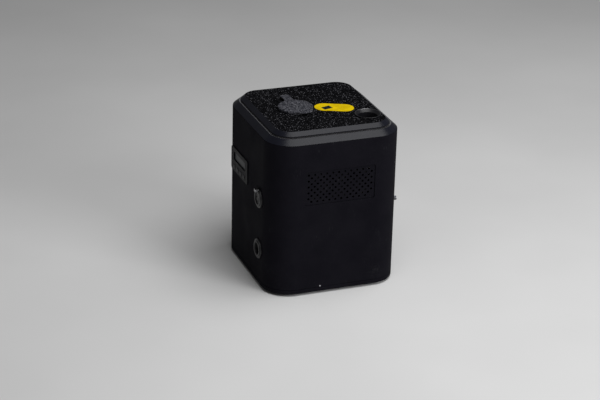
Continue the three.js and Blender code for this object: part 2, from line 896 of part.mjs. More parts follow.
function feedScrew() {
  const end = feedLength - screwStop;
  const shaft = disc(screwShaftRadius, gearBack - screwTail, end, smallFacets);
  const margin = screwFlightThickness;
  const flight = helixFlight(screwShaftRadius - margin / 2, barrelRadius - runningGap,
    screwFlightThickness, screwPitch, margin - barrelTail, end - margin, screwStepsPerTurn);
  return alongFeed(join(shaft, flight), screwHeight);
}

// A spur gear outline with involute flanks; one tooth points along X
function gearOutline(teeth) {
  const pitchRadius = gearModule * teeth / 2;
  const tipRadius = pitchRadius + gearModule;
  const rootRadius = pitchRadius - gearModule * rootDepthShare;
  const pressureAngle = THREE.MathUtils.degToRad(pressureAngleDegrees);
  const baseRadius = pitchRadius * Math.cos(pressureAngle);
  const involute = (radius) => {
    const angle = Math.acos(Math.min(1, baseRadius / radius));
    return Math.tan(angle) - angle;
  };
  const halfTooth = (Math.PI * gearModule - gearBacklash) / 4 / pitchRadius;
  const halfAngle = (radius) => halfTooth + involute(pitchRadius) - involute(radius);
  const flank = [];
  for (let step = 0; step <= toothFacets; step += 1) {
    const radius = rootRadius + (tipRadius - rootRadius) * step / toothFacets;
    flank.push([radius, halfAngle(Math.max(radius, baseRadius))]);
  }
  const points = [];
  for (let tooth = 0; tooth < teeth; tooth += 1) {
    const middle = tooth / teeth * Math.PI * 2;
    const rising = flank.map(([radius, angle]) => [radius, middle - angle]);
    const falling = flank.map(([radius, angle]) => [radius, middle + angle]).reverse();
    for (const [radius, angle] of [...rising, ...falling]) {
      points.push([radius * Math.cos(angle), radius * Math.sin(angle)]);
    }
  }
  return polygon(points);
}

function screwGear() {
  const outline = gearOutline(wheelTeeth);
  outline.holes.push(circle(clearRadius(screwShaftRadius + seatGap, tinyFacets)));
  const rootRadius = gearModule * (wheelTeeth / 2 - rootDepthShare);
  const webRadius = (rootRadius + screwShaftRadius) / 2;
  for (let i = 0; i < wheelHoleCount; i += 1) {
    const angle = (i + 1 / 2) / wheelHoleCount * Math.PI * 2;
    outline.holes.push(circle(wheelHoleRadius, webRadius * Math.cos(angle),
      webRadius * Math.sin(angle)));
  }
  return alongFeed(prism(outline, gearBack, gearFront, tinyFacets), screwHeight);
}

// The pinion and its shaft; a tooth space faces the wheel above
function motorPinion() {
  const gear = prism(gearOutline(pinionTeeth), gearBack, gearFront, tinyFacets);
  gear.rotateZ(Math.PI / pinionTeeth);
  const shaftEnd = bracketFront + motorShaftDepth;
  const shaft = disc(motorShaftRadius, gearBack, shaftEnd, smallFacets);
  return alongFeed(join(gear, shaft), motorAxisHeight);
}

function feedMotor() {
  const face = bracketFront + seatGap;
  const can = disc(motorRadius, face, face + motorLength, roundFacets);
  const boss = disc(motorBossRadius, face - motorBossHeight, face + cutOverrun, smallFacets);
  const bore = disc(motorShaftRadius + seatGap, face - motorBossHeight - cutOverrun,
    bracketFront + motorShaftDepth + seatGap, smallFacets);
  return alongFeed(cut(join(can, boss), bore), motorAxisHeight);
}

// An upright plate that carries the barrel, the motor and the screw's end
function feedBracket() {
  const low = deckTop + seatGap;
  const high = screwHeight + barrelOuter + bracketMargin;
  const half = bracketHalfWidth;
  const plate = block([bracketBack, -half, low], [bracketFront, half, high]);
  const footPlate = block([bracketBack - bracketFoot, -half, low],
    [bracketFront, half, low + bracketThickness]);
  const holeLow = bracketBack - cutOverrun;
  const holeHigh = bracketFront + cutOverrun;
  const screwHole = alongFeed(disc(screwShaftRadius + seatGap, holeLow, holeHigh, smallFacets),
    screwHeight);
  const motorHole = alongFeed(disc(motorBossRadius + seatGap, holeLow, holeHigh, smallFacets),
    motorAxisHeight);
  return cut(join(plate, footPlate), screwHole, motorHole);
}

// Heated barrel under the outlet, with a side port for the granules
function sparkTube() {
  const body = tube(nozzleThroatRadius, sparkTubeRadius, ductTop + seatGap,
    lidTop - nozzleRimDepth - seatGap, wideFacets).translate(feedLength, 0, 0);
  const port = alongFeed(disc(barrelRadius, feedLength - sparkTubeRadius - cutOverrun,
    feedLength, roundFacets), screwHeight);
  return cut(body, port);
}

function heaterJacket() {
  const bore = clearRadius(sparkTubeRadius + seatGap, roundFacets);
  const inner = jacketRadius - jacketWall;
  return revolve([
    [bore, jacketBottom],
    [jacketRadius, jacketBottom],
    [jacketRadius, jacketTop],
    [bore, jacketTop],
    [bore, jacketTop - jacketWall],
    [inner, jacketTop - jacketWall],
    [inner, jacketBottom + jacketWall],
    [bore, jacketBottom + jacketWall],
    [bore, jacketBottom],
  ], roundFacets).translate(feedLength, 0, 0);
}

// A wire wound in one unbroken helix inside the jacket
function heaterCoil() {
  const wallRadius = (jacketRadius - jacketWall) * Math.cos(Math.PI / roundFacets);
  const radius = wallRadius - seatGap - coilWireRadius;
  const low = jacketBottom + jacketWall + seatGap + coilWireRadius;
  const high = jacketTop - jacketWall - seatGap - coilWireRadius;
  const loops = [];
  const steps = Math.round((high - low) / coilPitch) * coilStepsPerTurn;
  for (let step = 0; step <= steps; step += 1) {
    const turn = step / coilStepsPerTurn * Math.PI * 2;
    const height = low + (high - low) * step / steps;
    const ring = [];
    for (let side = 0; side < coilWireFacets; side += 1) {
      const angle = side / coilWireFacets * Math.PI * 2;
      const reach = radius + coilWireRadius * Math.cos(angle);
      ring.push(new THREE.Vector3(reach * Math.cos(turn), reach * Math.sin(turn),
        height + coilWireRadius * Math.sin(angle)));
    }
    loops.push(ring);
  }
  return loft(loops.reverse()).translate(feedLength, 0, 0);
}

// Blower: a spiral housing whose outlet points to the front, under the spark barrel

function voluteOutline(grow, outletReach) {
  const outletInner = voluteMax - voluteOutletWidth - grow;
  const tongue = Math.acos(outletInner / (voluteMin + grow));
  const points = [];
  for (let step = 0; step <= wideFacets; step += 1) {
    const angle = tongue + (Math.PI * 2 - tongue) * step / wideFacets;
    const radius = voluteMin + voluteGrowth * angle / (Math.PI * 2) + grow;
    points.push([radius * Math.cos(angle), -radius * Math.sin(angle)]);
  }
  points.push([voluteMax + grow, -outletReach]);
  points.push([outletInner, -outletReach]);
  return polygon(points);
}

function blowerHousing() {
  const top = blowerFloor + voluteHeight;
  const floor = blowerFloor + voluteWall;
  const outside = prism(voluteOutline(voluteWall, voluteOutletLength), blowerFloor, top);
  const inside = prism(voluteOutline(0, voluteOutletLength + cutOverrun), floor, top + cutOverrun);
  const pin = disc(blowerPinRadius, blowerFloor, floor + blowerPinLength, smallFacets);
  return join(cut(outside, inside), pin);
}

function blowerCover() {
  const outline = voluteOutline(voluteWall, voluteOutletLength);
  outline.holes.push(circle(blowerInletRadius));
  const low = blowerFloor + voluteHeight + seatGap;
  return prism(outline, low, low + blowerCoverThickness, roundFacets);
}

function blowerImpeller() {
  const low = blowerFloor + voluteWall + runningGap;
  const high = blowerFloor + voluteHeight - runningGap;
  const bore = blowerPinRadius + seatGap;
  const base = tube(bore, impellerRadius, low, low + impellerDisc, roundFacets);
  const hubTop = blowerFloor + voluteWall + blowerPinLength;
  const hub = tube(bore, impellerHubRadius, low, hubTop, roundFacets);
  const bladeInner = impellerRadius - impellerBladeDepth;
  const ring = tube(bladeInner, impellerRadius, high - impellerRing, high, roundFacets);
  const sweep = THREE.MathUtils.degToRad(impellerBladeSweepDegrees);
  const blades = [];
  for (let i = 0; i < impellerBladeCount; i += 1) {
    const angle = i / impellerBladeCount * Math.PI * 2;
    const half = impellerBladeThickness / 2;
    const blade = block([bladeInner + half, -half, low + impellerDisc / 2],
      [impellerRadius - half, half, high - impellerRing / 2]);
    blade.translate(-bladeInner, 0, 0);
    blade.rotateZ(-sweep);
    blade.translate(bladeInner, 0, 0);
    blades.push(blade.rotateZ(angle));
  }
  return join(base, hub, ring, ...blades);
}

// An elbow from the blower's outlet up to the foot of the spark barrel
function airDuct() {
  const inner = voluteOutletWidth / 2;
  const outer = inner + ductWall;
  const bend = (radius, overrun) => {
    const centreY = nozzleY + ductBendRadius;
    const centreZ = ductHeight + ductBendRadius;
    const loops = [];
    loops.push(ductRing(radius, centreY + overrun, ductHeight, 0));
    for (let step = 0; step <= cornerFacets; step += 1) {
      const angle = step / cornerFacets * Math.PI / 2;
      loops.push(ductRing(radius, centreY - ductBendRadius * Math.sin(angle),
        centreZ - ductBendRadius * Math.cos(angle), angle));
    }
    loops.push(ductRing(radius, nozzleY, centreZ + overrun, Math.PI / 2));
    return loft(loops);
  };
  const width = voluteOutletWidth + 2 * voluteWall;
  const lowFlange = block(
    [nozzleX - width / 2, ductStartY - ductFlangeThickness, blowerFloor],
    [nozzleX + width / 2, ductStartY, blowerFloor + voluteHeight]);
  const topFlange = disc(sparkTubeRadius, ductTop - ductFlangeThickness, ductTop, roundFacets,
    nozzleX, nozzleY);
  const outside = join(bend(outer, ductFlangeThickness / 2), lowFlange, topFlange);
  return cut(outside, bend(inner, ductFlangeThickness + cutOverrun));
}

// One ring of the duct; the angle turns it from facing the back to facing up
function ductRing(radius, y, z, angle) {
  const ring = [];
  for (let side = 0; side < ductFacets; side += 1) {
    const turn = side / ductFacets * Math.PI * 2;
    const across = radius * Math.cos(turn);
    const rise = radius * Math.sin(turn);
    ring.push(new THREE.Vector3(nozzleX + across, y + rise * Math.sin(angle),
      z + rise * Math.cos(angle)));
  }
  return ring;
}

// Power supply: a vented case with a terminal block at its front end
function powerSupply() {
  const left = -innerWidth / 2 + supplyInset;
  const right = blowerX - voluteMax - voluteWall - supplyBlowerGap;
  const back = bodyDepth / 2 - supplyBackOffset;
  const front = back - supplyLength;
  const low = baseThickness + seatGap;
  const high = low + supplyHeight;
  const terminals = front + terminalBlockLength;
  const step = block([left - cutOverrun, front - cutOverrun, low + terminalBlockHeight],
    [right + cutOverrun, terminals, high + cutOverrun]);
  const slots = [];
  const middle = (supplySlotCount - 1) / 2;
  for (let i = 0; i < supplySlotCount; i += 1) {
    const y = (terminals + back) / 2 + (i - middle) * supplySlotPitch;
    const outline = roundedRect((right - left) * ventShare, supplySlotWidth, supplySlotWidth / 2,
      (left + right) / 2, y);
    slots.push(prism(outline, high - supplySlotDepth, high + cutOverrun, tinyFacets));
  }
  return cut(block([left, front, low], [right, back, high]), step, ...slots);
}

// Control board on standoffs, drawn as it hangs on the back wall
function controlBoard() {
  const wallFace = -shellWall - seatGap;
  const backFace = wallFace - standoffLength;
  const frontFace = backFace - boardThickness;
  const low = deckTop + controlBoardRise;
  const high = low + controlBoardHeight;
  const half = bodyWidth / 2 - cornerRadius - controlBoardMargin;
  const plate = block([-half, low, frontFace], [half, high, backFace]);
  const pieces = [];
  for (const x of [-half + standoffInset, half - standoffInset]) {
    for (const y of [low + standoffInset, high - standoffInset]) {
      pieces.push(disc(standoffRadius, backFace - boardThickness / 2, wallFace, tinyFacets, x, y));
    }
  }
  const middle = (low + high) / 2;
  const chipHalf = chipSize / 2;
  for (const x of [-half / 2, half / 2]) {
    pieces.push(block([x - chipHalf, middle - chipHalf, frontFace - chipHeight],
      [x + chipHalf, middle + chipHalf, frontFace + boardThickness / 2]));
  }
  for (const y of [middle - 2 * capacitorRadius, middle + 2 * capacitorRadius]) {
    pieces.push(disc(capacitorRadius, frontFace - capacitorHeight, backFace - boardThickness / 2,
      smallFacets, 0, y));
  }
  return join(plate, ...pieces);
}

// Heater driver: a board on standoffs with a finned heat sink
function driverBoard() {
  const x = bodyWidth / 2 - driverSideOffset;
  const y = bodyDepth / 2 - driverBackOffset;
  const halfX = driverBoardWidth / 2;
  const halfY = driverBoardLength / 2;
  const foot = deckTop + seatGap;
  const low = foot + standoffLength;
  const high = low + boardThickness;
  const pieces = [];
  for (const dx of [-halfX + standoffInset, halfX - standoffInset]) {
    for (const dy of [-halfY + standoffInset, halfY - standoffInset]) {
      pieces.push(disc(standoffRadius, foot, high - boardThickness / 2, tinyFacets,
        x + dx, y + dy));
    }
  }
  const sinkX = halfX - standoffInset;
  const sinkY = halfY - standoffInset;
  const comb = [[-sinkX, high - boardThickness / 2]];
  comb.push([sinkX, high - boardThickness / 2]);
  for (let i = sinkFinCount - 1; i >= 0; i -= 1) {
    const centre = -sinkX + sinkFinThickness / 2
      + (2 * sinkX - sinkFinThickness) * i / (sinkFinCount - 1);
    comb.push([centre + sinkFinThickness / 2, high + sinkBase]);
    comb.push([centre + sinkFinThickness / 2, high + sinkBase + sinkFinHeight]);
    comb.push([centre - sinkFinThickness / 2, high + sinkBase + sinkFinHeight]);
    comb.push([centre - sinkFinThickness / 2, high + sinkBase]);
  }
  const sink = prism(polygon(comb), -sinkY, sinkY).rotateX(Math.PI / 2).translate(x, y, 0);
  const plate = block([x - halfX, y - halfY, low], [x + halfX, y + halfY, high]);
  return join(plate, sink, ...pieces);
}

// Round sockets, drawn with their flange on the wall and Z out of it

function socketOutside() {
  const flange = disc(socketFlangeRadius, seatGap, flangeTop, wideFacets);
  return join(flange, disc(socketRadius, -socketDepth, socketRingTop, roundFacets));
}

function dataShell(withLatch) {
  const bore = disc(dataBoreRadius, -socketDepth - cutOverrun, socketRingTop + cutOverrun,
    roundFacets);
  if (!withLatch) {
    return cut(socketOutside(), bore);
  }
  const half = latchWidth / 2 + seatGap;
  const slot = block([-half, latchBottom - seatGap, seatGap + latchFloor],
    [half, latchBottom + latchHeight + seatGap, socketRingTop + cutOverrun]);
  return cut(socketOutside(), bore, slot);
}

function dataPinPlaces() {
  return [0, 1, 2].map((i) => {
    const angle = (i + 1) * Math.PI / 2 + Math.PI / 2;
    return [dataPinCircle * Math.cos(angle), dataPinCircle * Math.sin(angle)];
  });
}

// The inlet's insert carries three pins
function dataPinInsert() {
  const radius = dataBoreRadius - seatGap;
  const base = disc(radius, -socketDepth, -socketDepth + dataInsertThickness, roundFacets);
  const pinTop = -socketDepth + dataInsertThickness + dataPinLength;
  const pins = dataPinPlaces().map(([x, y]) => disc(dataPinRadius,
    -socketDepth + dataInsertThickness / 2, pinTop, tinyFacets, x, y));
  return join(base, ...pins);
}

// The outlet's insert fills its shell and has three holes for pins
function dataHoleInsert() {
  const radius = dataBoreRadius - seatGap;
  const top = socketRingTop - dataFaceSetback;
  const holes = dataPinPlaces().map(([x, y]) => disc(dataPinRadius + seatGap,
    top - dataPinLength, top + cutOverrun, tinyFacets, x, y));
  return cut(disc(radius, -socketDepth, top, roundFacets), ...holes);
}

function latchTab() {
  const low = seatGap + latchFloor + latchTravel + seatGap;
  return block([-latchWidth / 2, latchBottom, low],
    [latchWidth / 2, latchBottom + latchHeight, sideReach]);
}

// A power socket: a deep round bore round a keyed core
function powerSocket() {
  const floor = -socketDepth + powerFloor;
  const bore = disc(powerBoreRadius, floor, socketRingTop + cutOverrun, roundFacets);
  const coreTop = socketRingTop - powerCoreSetback;
  const core = disc(powerCoreRadius, floor - powerFloor / 2, coreTop, smallFacets);
  const keys = [0, 1, 2].map((i) => {
    const key = block([powerCoreRadius / 2, -powerKeyWidth / 2, floor + powerFloor],
      [powerCoreRadius + cutOverrun, powerKeyWidth / 2, coreTop + cutOverrun]);
    return key.rotateZ((i + 1) * Math.PI / 2);
  });
  return cut(join(cut(socketOutside(), bore), core), ...keys);
}

// Menu panel: a bezel, a window, a board behind it and a row of buttons

function menuButtonX(number) {
  return menuX + (number - (buttonCount - 1) / 2) * buttonPitch;
}

function menuBezel() {
  const outline = roundedRect(bezelWidth, bezelHeight, bezelCorner, menuX, menuCentreHeight);
  outline.holes.push(roundedRect(windowWidth - 2 * windowLap, windowHeight - 2 * windowLap,
    windowLap, menuX, menuCentreHeight + windowRaise));
  for (let i = 0; i < buttonCount; i += 1) {
    outline.holes.push(circle(buttonRadius + seatGap, menuButtonX(i), menuButtonHeight));
  }
  return prism(outline, seatGap, seatGap + bezelThickness, smallFacets);
}

function menuWindow() {
  const outline = roundedRect(windowWidth, windowHeight, seatGap, menuX,
    menuCentreHeight + windowRaise);
  return prism(outline, -windowThickness, 0, tinyFacets);
}

function menuBoard() {
  const face = -shellWall - menuBoardGap;
  const halfX = bezelWidth / 2 - menuBoardMargin;
  const halfY = bezelHeight / 2 - menuBoardMargin;
  const plate = block([menuX - halfX, menuCentreHeight - halfY, face - boardThickness],
    [menuX + halfX, menuCentreHeight + halfY, face]);
  const pieces = [];
  for (const x of [menuX - halfX + standoffRadius, menuX + halfX - standoffRadius]) {
    pieces.push(disc(standoffRadius, face - boardThickness / 2, -shellWall - seatGap, tinyFacets,
      x, menuCentreHeight));
  }
  const screenX = windowWidth / 2 - windowLap;
  const screenY = windowHeight / 2 - windowLap;
  const screenMiddle = menuCentreHeight + windowRaise;
  pieces.push(block([menuX - screenX, screenMiddle - screenY, face - boardThickness / 2],
    [menuX + screenX, screenMiddle + screenY, -windowThickness - seatGap]));
  return join(plate, ...pieces);
}

function menuButton() {
  const top = seatGap + bezelThickness + buttonProud;
  const rimTop = -shellWall - seatGap;
  const bottom = rimTop - buttonRim - buttonTravel;
  return revolve([
    [0, bottom],
    [buttonRadius - buttonRim, bottom],
    [buttonRadius - buttonRim, rimTop - buttonRim],
    [buttonRadius + buttonRim, rimTop - buttonRim],
    [buttonRadius + buttonRim, rimTop],
    [buttonRadius, rimTop],
    [buttonRadius, top - buttonEdge],
    [buttonRadius - buttonEdge, top],
    [0, top],
  ], smallFacets);
}

// Power switch: a frame through the wall and a rocker that tips between its two ends

function switchFrame() {
  const flange = prism(roundedRect(switchBodyWidth + 2 * switchFlange,
    switchBodyHeight + 2 * switchFlange, switchFlange), seatGap, switchFrameTop, tinyFacets);
  const body = block([-switchBodyWidth / 2, -switchBodyHeight / 2, -switchBodyDepth],
    [switchBodyWidth / 2, switchBodyHeight / 2, switchFrameTop]);
  const swing = rockerLength / 2 * Math.sin(rockerTilt);
  const pocket = block(
    [-switchInnerWidth / 2, -switchInnerHeight / 2, -rockerDepth - swing - runningGap],
    [switchInnerWidth / 2, switchInnerHeight / 2, switchFrameTop + cutOverrun]);
  return cut(join(flange, body), pocket);
}

function switchRocker() {
  const end = rockerLength / 2;
  const outline = polygon([
    [-end, -rockerDepth],
    [end, -rockerDepth],
    [end, switchFrameTop + rockerRise],
    [0, switchFrameTop + rockerRise - rockerDip],
    [-end, switchFrameTop + rockerRise],
  ]);
  const body = prism(outline, -rockerWidth / 2, rockerWidth / 2);
  body.applyMatrix4(basis([0, 1, 0], [0, 0, 1], [1, 0, 0]));
  body.translate(0, 0, rockerPivotDepth);
  body.rotateX(rockerTilt);
  return body.translate(0, 0, -rockerPivotDepth);
}

function fuseHolder() {
  const top = seatGap + fuseFlangeThickness;
  const flange = disc(fuseFlangeRadius, seatGap, top, smallFacets);
  const body = disc(fuseBodyRadius, -fuseBodyDepth, top, smallFacets);
  const bore = disc(fuseCapRadius + seatGap, -fuseCapDepth - seatGap, top + cutOverrun,
    smallFacets);
  return cut(join(flange, body), bore);
}

function fuseCap() {
  const top = sideReach;
  const body = disc(fuseCapRadius, -fuseCapDepth, top, smallFacets);
  const reach = fuseCapRadius + cutOverrun;
  const slot = block([-reach, -fuseSlotWidth / 2, top - fuseSlotDepth],
    [reach, fuseSlotWidth / 2, top + cutOverrun]);
  return cut(body, slot);
}

function aerialSocket() {
  const nut = disc(aerialNutRadius, seatGap, seatGap + aerialNutThickness, hexFacets);
  const stem = disc(aerialRadius, -shellWall - aerialTail, sideReach, smallFacets);
  const bore = disc(aerialBoreRadius, sideReach - aerialBoreDepth, sideReach + cutOverrun,
    tinyFacets);
  return cut(join(nut, stem), bore);
}

// Assembly: housing

addPiece(machine, 'base_plate', basePlate(), blackPaint);
addPiece(machine, 'body_shell', bodyShell(), blackPaint);
addPiece(machine, 'top_frame', topFrame(), blackPaint);
addPiece(machine, 'top_seal', topSeal(), blackRubber);
addPiece(machine, 'top_lid', topLid(), gritPaint);
addPiece(machine, 'nozzle_rim', nozzleRim(), brightSteel).position.set(nozzleX, nozzleY, 0);
addPiece(machine, 'feed_collar', feedCollar(), aluminium).position.set(portX, portY, 0);
addPiece(machine, 'feed_cap', feedCap(), greyRubber).position.set(portX, portY, 0);

function addAtCorners(name, makeGeometry, inset, material) {
  const corners = [[-1, -1], [1, -1], [1, 1], [-1, 1]];
  corners.forEach(([signX, signY], i) => {
    const piece = addPiece(machine, `${name}_${i + 1}`, makeGeometry(), material);
    piece.position.set(signX * (bodyWidth / 2 - inset), signY * (bodyDepth / 2 - inset), 0);
  });
}

addAtCorners('foot', foot, footInset, blackRubber);
addAtCorners('deck_post', deckPost, postInset, dullSteel);
addPiece(machine, 'inner_deck', deck(), dullSteel);

// Assembly: front wall

addPiece(frontWall, 'front_grille', frontGrille(), blackPaint);
['left', 'right'].forEach((side, i) => {
  const x = grilleCentreX + (i - 1 / 2) * fanSpacing;
  const frame = addPiece(frontWall, `fan_frame_${side}`, fanFrame(), blackPlastic);
  const rotor = addPiece(frontWall, `fan_rotor_${side}`, fanRotor(), blackPlastic);
  for (const piece of [frame, rotor]) {
    piece.position.set(x, grilleCentreHeight, -grilleRecess - grilleThickness - seatGap);
  }
});

// Assembly: feed drive and heated barrel

const feed = new THREE.Group();
feed.position.set(portX, portY, 0);
feed.rotation.z = feedAngle;
machine.add(feed);
addPiece(feed, 'hopper', hopper(), aluminium);
addPiece(feed, 'feed_barrel', feedBarrel(), aluminium);
addPiece(feed, 'feed_screw', feedScrew(), dullSteel);
addPiece(feed, 'screw_gear', screwGear(), gearPlastic);
addPiece(feed, 'motor_pinion', motorPinion(), brass);
addPiece(feed, 'feed_motor', feedMotor(), dullSteel);
addPiece(feed, 'feed_bracket', feedBracket(), dullSteel);
addPiece(feed, 'spark_tube', sparkTube(), dullSteel);
addPiece(feed, 'heater_jacket', heaterJacket(), ceramic);
addPiece(feed, 'heater_coil', heaterCoil(), copper);

// Assembly: blower

const blowerPieces = [
  addPiece(machine, 'blower_housing', blowerHousing(), blackPlastic),
  addPiece(machine, 'blower_cover', blowerCover(), blackPlastic),
  addPiece(machine, 'blower_impeller', blowerImpeller(), greyPlastic),
];
for (const piece of blowerPieces) {
  piece.position.set(blowerX, blowerY, 0);
}
addPiece(machine, 'air_duct', airDuct(), aluminium);

// Assembly: power supply and boards

addPiece(machine, 'power_supply', powerSupply(), aluminium);
addPiece(backWall, 'control_board', controlBoard(), boardGreen);
addPiece(machine, 'driver_board', driverBoard(), boardGreen);

// Assembly: left wall

function place(piece, x, y) {
  piece.position.set(x, y, 0);
}

place(addPiece(leftWall, 'data_out_shell', dataShell(true), brightSteel), leftSocketX,
  upperSocketHeight);
place(addPiece(leftWall, 'data_out_insert', dataHoleInsert(), blackPlastic), leftSocketX,
  upperSocketHeight);
place(addPiece(leftWall, 'data_out_latch', latchTab(), brightSteel), leftSocketX,
  upperSocketHeight);
place(addPiece(leftWall, 'data_in_shell', dataShell(false), brightSteel), leftSocketX,
  lowerSocketHeight);
place(addPiece(leftWall, 'data_in_insert', dataPinInsert(), blackPlastic), leftSocketX,
  lowerSocketHeight);
addPiece(leftWall, 'menu_bezel', menuBezel(), blackPlastic);
addPiece(leftWall, 'menu_window', menuWindow(), darkGlass);
addPiece(leftWall, 'menu_board', menuBoard(), boardGreen);
for (let i = 0; i < buttonCount; i += 1) {
  const button = addPiece(leftWall, `menu_button_${i + 1}`, menuButton(), greyPlastic);
  place(button, menuButtonX(i), menuButtonHeight);
}

// Assembly: right wall

place(addPiece(rightWall, 'power_in_socket', powerSocket(), bluePlastic), rightSocketX,
  upperSocketHeight);
place(addPiece(rightWall, 'power_out_socket', powerSocket(), greyPlastic), rightSocketX,
  lowerSocketHeight);
place(addPiece(rightWall, 'switch_frame', switchFrame(), blackPlastic), rightBackX, switchHeight);
place(addPiece(rightWall, 'switch_rocker', switchRocker(), blackPlastic), rightBackX,
  switchHeight);
place(addPiece(rightWall, 'fuse_holder', fuseHolder(), blackPlastic), rightBackX, fuseHeight);
place(addPiece(rightWall, 'fuse_cap', fuseCap(), blackPlastic), rightBackX, fuseHeight);
place(addPiece(rightWall, 'aerial_socket', aerialSocket(), dullSteel), aerialX, aerialHeight);

// The tower stands on its feet
machine.position.z = footHeight;

export default machine;
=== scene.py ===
import math

import bmesh
import bpy
from mathutils import Matrix, Vector


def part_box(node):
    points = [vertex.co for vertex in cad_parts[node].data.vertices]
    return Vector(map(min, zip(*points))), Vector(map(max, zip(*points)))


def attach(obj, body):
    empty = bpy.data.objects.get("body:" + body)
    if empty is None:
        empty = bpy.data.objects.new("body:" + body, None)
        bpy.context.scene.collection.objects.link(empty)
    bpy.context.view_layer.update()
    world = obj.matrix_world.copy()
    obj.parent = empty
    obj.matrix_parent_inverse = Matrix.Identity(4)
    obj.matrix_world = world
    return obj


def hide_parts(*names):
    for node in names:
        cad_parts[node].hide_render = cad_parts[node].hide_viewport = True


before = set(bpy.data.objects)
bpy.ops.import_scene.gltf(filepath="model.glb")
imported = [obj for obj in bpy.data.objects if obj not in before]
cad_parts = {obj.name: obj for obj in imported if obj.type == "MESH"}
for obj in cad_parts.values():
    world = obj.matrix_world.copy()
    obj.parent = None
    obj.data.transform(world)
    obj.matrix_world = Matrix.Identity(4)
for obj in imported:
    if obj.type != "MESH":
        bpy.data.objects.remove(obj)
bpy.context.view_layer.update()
scene = bpy.context.scene

# Every size below is in millimetres; meshes are scaled to metres when they are made
MM = 0.001

# Driving sizes of the tower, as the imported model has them
CORNER = 40
WALL = 3
LOWER_TIER_INSET = 9
LID_FOOT_INSET = 10.5
LID_TOP_INSET = 17.3
OPENING_INSET = 18
LID_WALL = 3
CORNER_STEPS = 20
FOOT_HEIGHT = 4
GAP = 0.3
# How far a cutting tool runs past what it cuts
OVERRUN = 5

# Edge radii, from coarse to fine
FOOT_EDGE = 0.8
RIM_EDGE = 0.6
EDGE = 0.5
TURNED_EDGE = 0.4
KEY_EDGE = 0.35
SMALL_EDGE = 0.3
FINE_EDGE = 0.25
SEAL_EDGE = 0.2
PLATE_EDGE = 0.15
PANE_EDGE = 0.1


def span(node):
    """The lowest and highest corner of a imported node, in millimetres."""
    low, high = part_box(node)
    return low / MM, high / MM


def middle(node):
    low, high = span(node)
    return (low + high) / 2


def add_object(name, data):
    obj = bpy.data.objects.new(name, data)
    scene.collection.objects.link(obj)
    return obj


shell_low, shell_high = span("body_shell")
WIDTH = shell_high.x - shell_low.x
DEPTH = shell_high.y - shell_low.y


# Camera

FRAME_PIXELS = 600
FOCAL_PIXELS = 1866.66
CAMERA_DISTANCE = 2783.2
CAMERA_AZIMUTH = math.radians(-20.89)
CAMERA_ELEVATION = math.radians(23.62)
CAMERA_ROLL = math.radians(1.43)
AIM_ACROSS = -17.1
AIM_UP = 87.4
SENSOR_WIDTH = 36
CLIP_END_METRES = 50


def make_camera():
    level = math.cos(CAMERA_ELEVATION)
    back = Vector((math.sin(CAMERA_AZIMUTH) * level, -math.cos(CAMERA_AZIMUTH) * level,
                   math.sin(CAMERA_ELEVATION)))
    right = Vector((0, 0, 1)).cross(back).normalized()
    up = back.cross(right)
    place = back * CAMERA_DISTANCE + right * AIM_ACROSS + up * AIM_UP
    place.z += FOOT_HEIGHT
    rolled_right = right * math.cos(CAMERA_ROLL) + up * math.sin(CAMERA_ROLL)
    rolled_up = up * math.cos(CAMERA_ROLL) - right * math.sin(CAMERA_ROLL)
    turn = Matrix((rolled_right, rolled_up, back)).transposed().to_4x4()
    data = bpy.data.cameras.new("camera")
    data.sensor_width = SENSOR_WIDTH
    data.lens = FOCAL_PIXELS / FRAME_PIXELS * SENSOR_WIDTH
    data.clip_end = CLIP_END_METRES
    scene.camera = add_object("camera", data)
    scene.camera.matrix_world = Matrix.Translation(place * MM) @ turn


make_camera()


# Outlines: lists of (x, y) points, counter-clockwise

def polar(radius, angle, x=0, y=0):
    return x + radius * math.cos(angle), y + radius * math.sin(angle)


def rounded_box(width, height, radius, x=0, y=0, steps=6):
    points = []
    for quarter in range(4):
        side_x = 1 if quarter in (0, 3) else -1
        side_y = 1 if quarter < 2 else -1
        for step in range(steps + 1):
            points.append(polar(radius, (quarter + step / steps) * math.pi / 2,
                                x + side_x * (width / 2 - radius),
                                y + side_y * (height / 2 - radius)))
    return points


def ring(radius, x=0, y=0, steps=32):
    return [polar(radius, 2 * math.pi * i / steps, x, y) for i in range(steps)]


def tower(inset):
    return rounded_box(WIDTH - 2 * inset, DEPTH - 2 * inset, CORNER - inset,
                       steps=CORNER_STEPS)


def curve(start, pull, end, steps):
    """Points from start to end on a curve that is drawn towards pull."""
    start, pull, end = Vector(start), Vector(pull), Vector(end)
    return [tuple(start * (1 - t) ** 2 + pull * 2 * t * (1 - t) + end * t ** 2)
            for t in (step / steps for step in range(steps + 1))]


# A rounded corner takes at most this share of each side that meets there
CORNER_SHARE = 0.45


def softened(points, radius, steps=3, closed=True):
    """The same outline with its corners rounded; an open one keeps its two ends."""
    result = []
    count = len(points)
    for i, point in enumerate(points):
        if not closed and i in (0, count - 1):
            result.append(tuple(point))
            continue
        corner = Vector(point)
        before = Vector(points[i - 1]) - corner
        after = Vector(points[(i + 1) % count]) - corner
        reach = min(radius, before.length * CORNER_SHARE, after.length * CORNER_SHARE)
        start = corner + before.normalized() * reach
        end = corner + after.normalized() * reach
        result += curve(start, corner, end, steps)
    return result


# Mesh makers

WELD = 1e-4
ON_AXIS = 1e-6


def finish_mesh(name, shape):
    bmesh.ops.remove_doubles(shape, verts=shape.verts, dist=WELD)
    bmesh.ops.recalc_face_normals(shape, faces=shape.faces)
    bmesh.ops.scale(shape, vec=(MM, MM, MM), verts=shape.verts)
    mesh = bpy.data.meshes.new(name)
    shape.to_mesh(mesh)
    shape.free()
    return add_object(name, mesh)


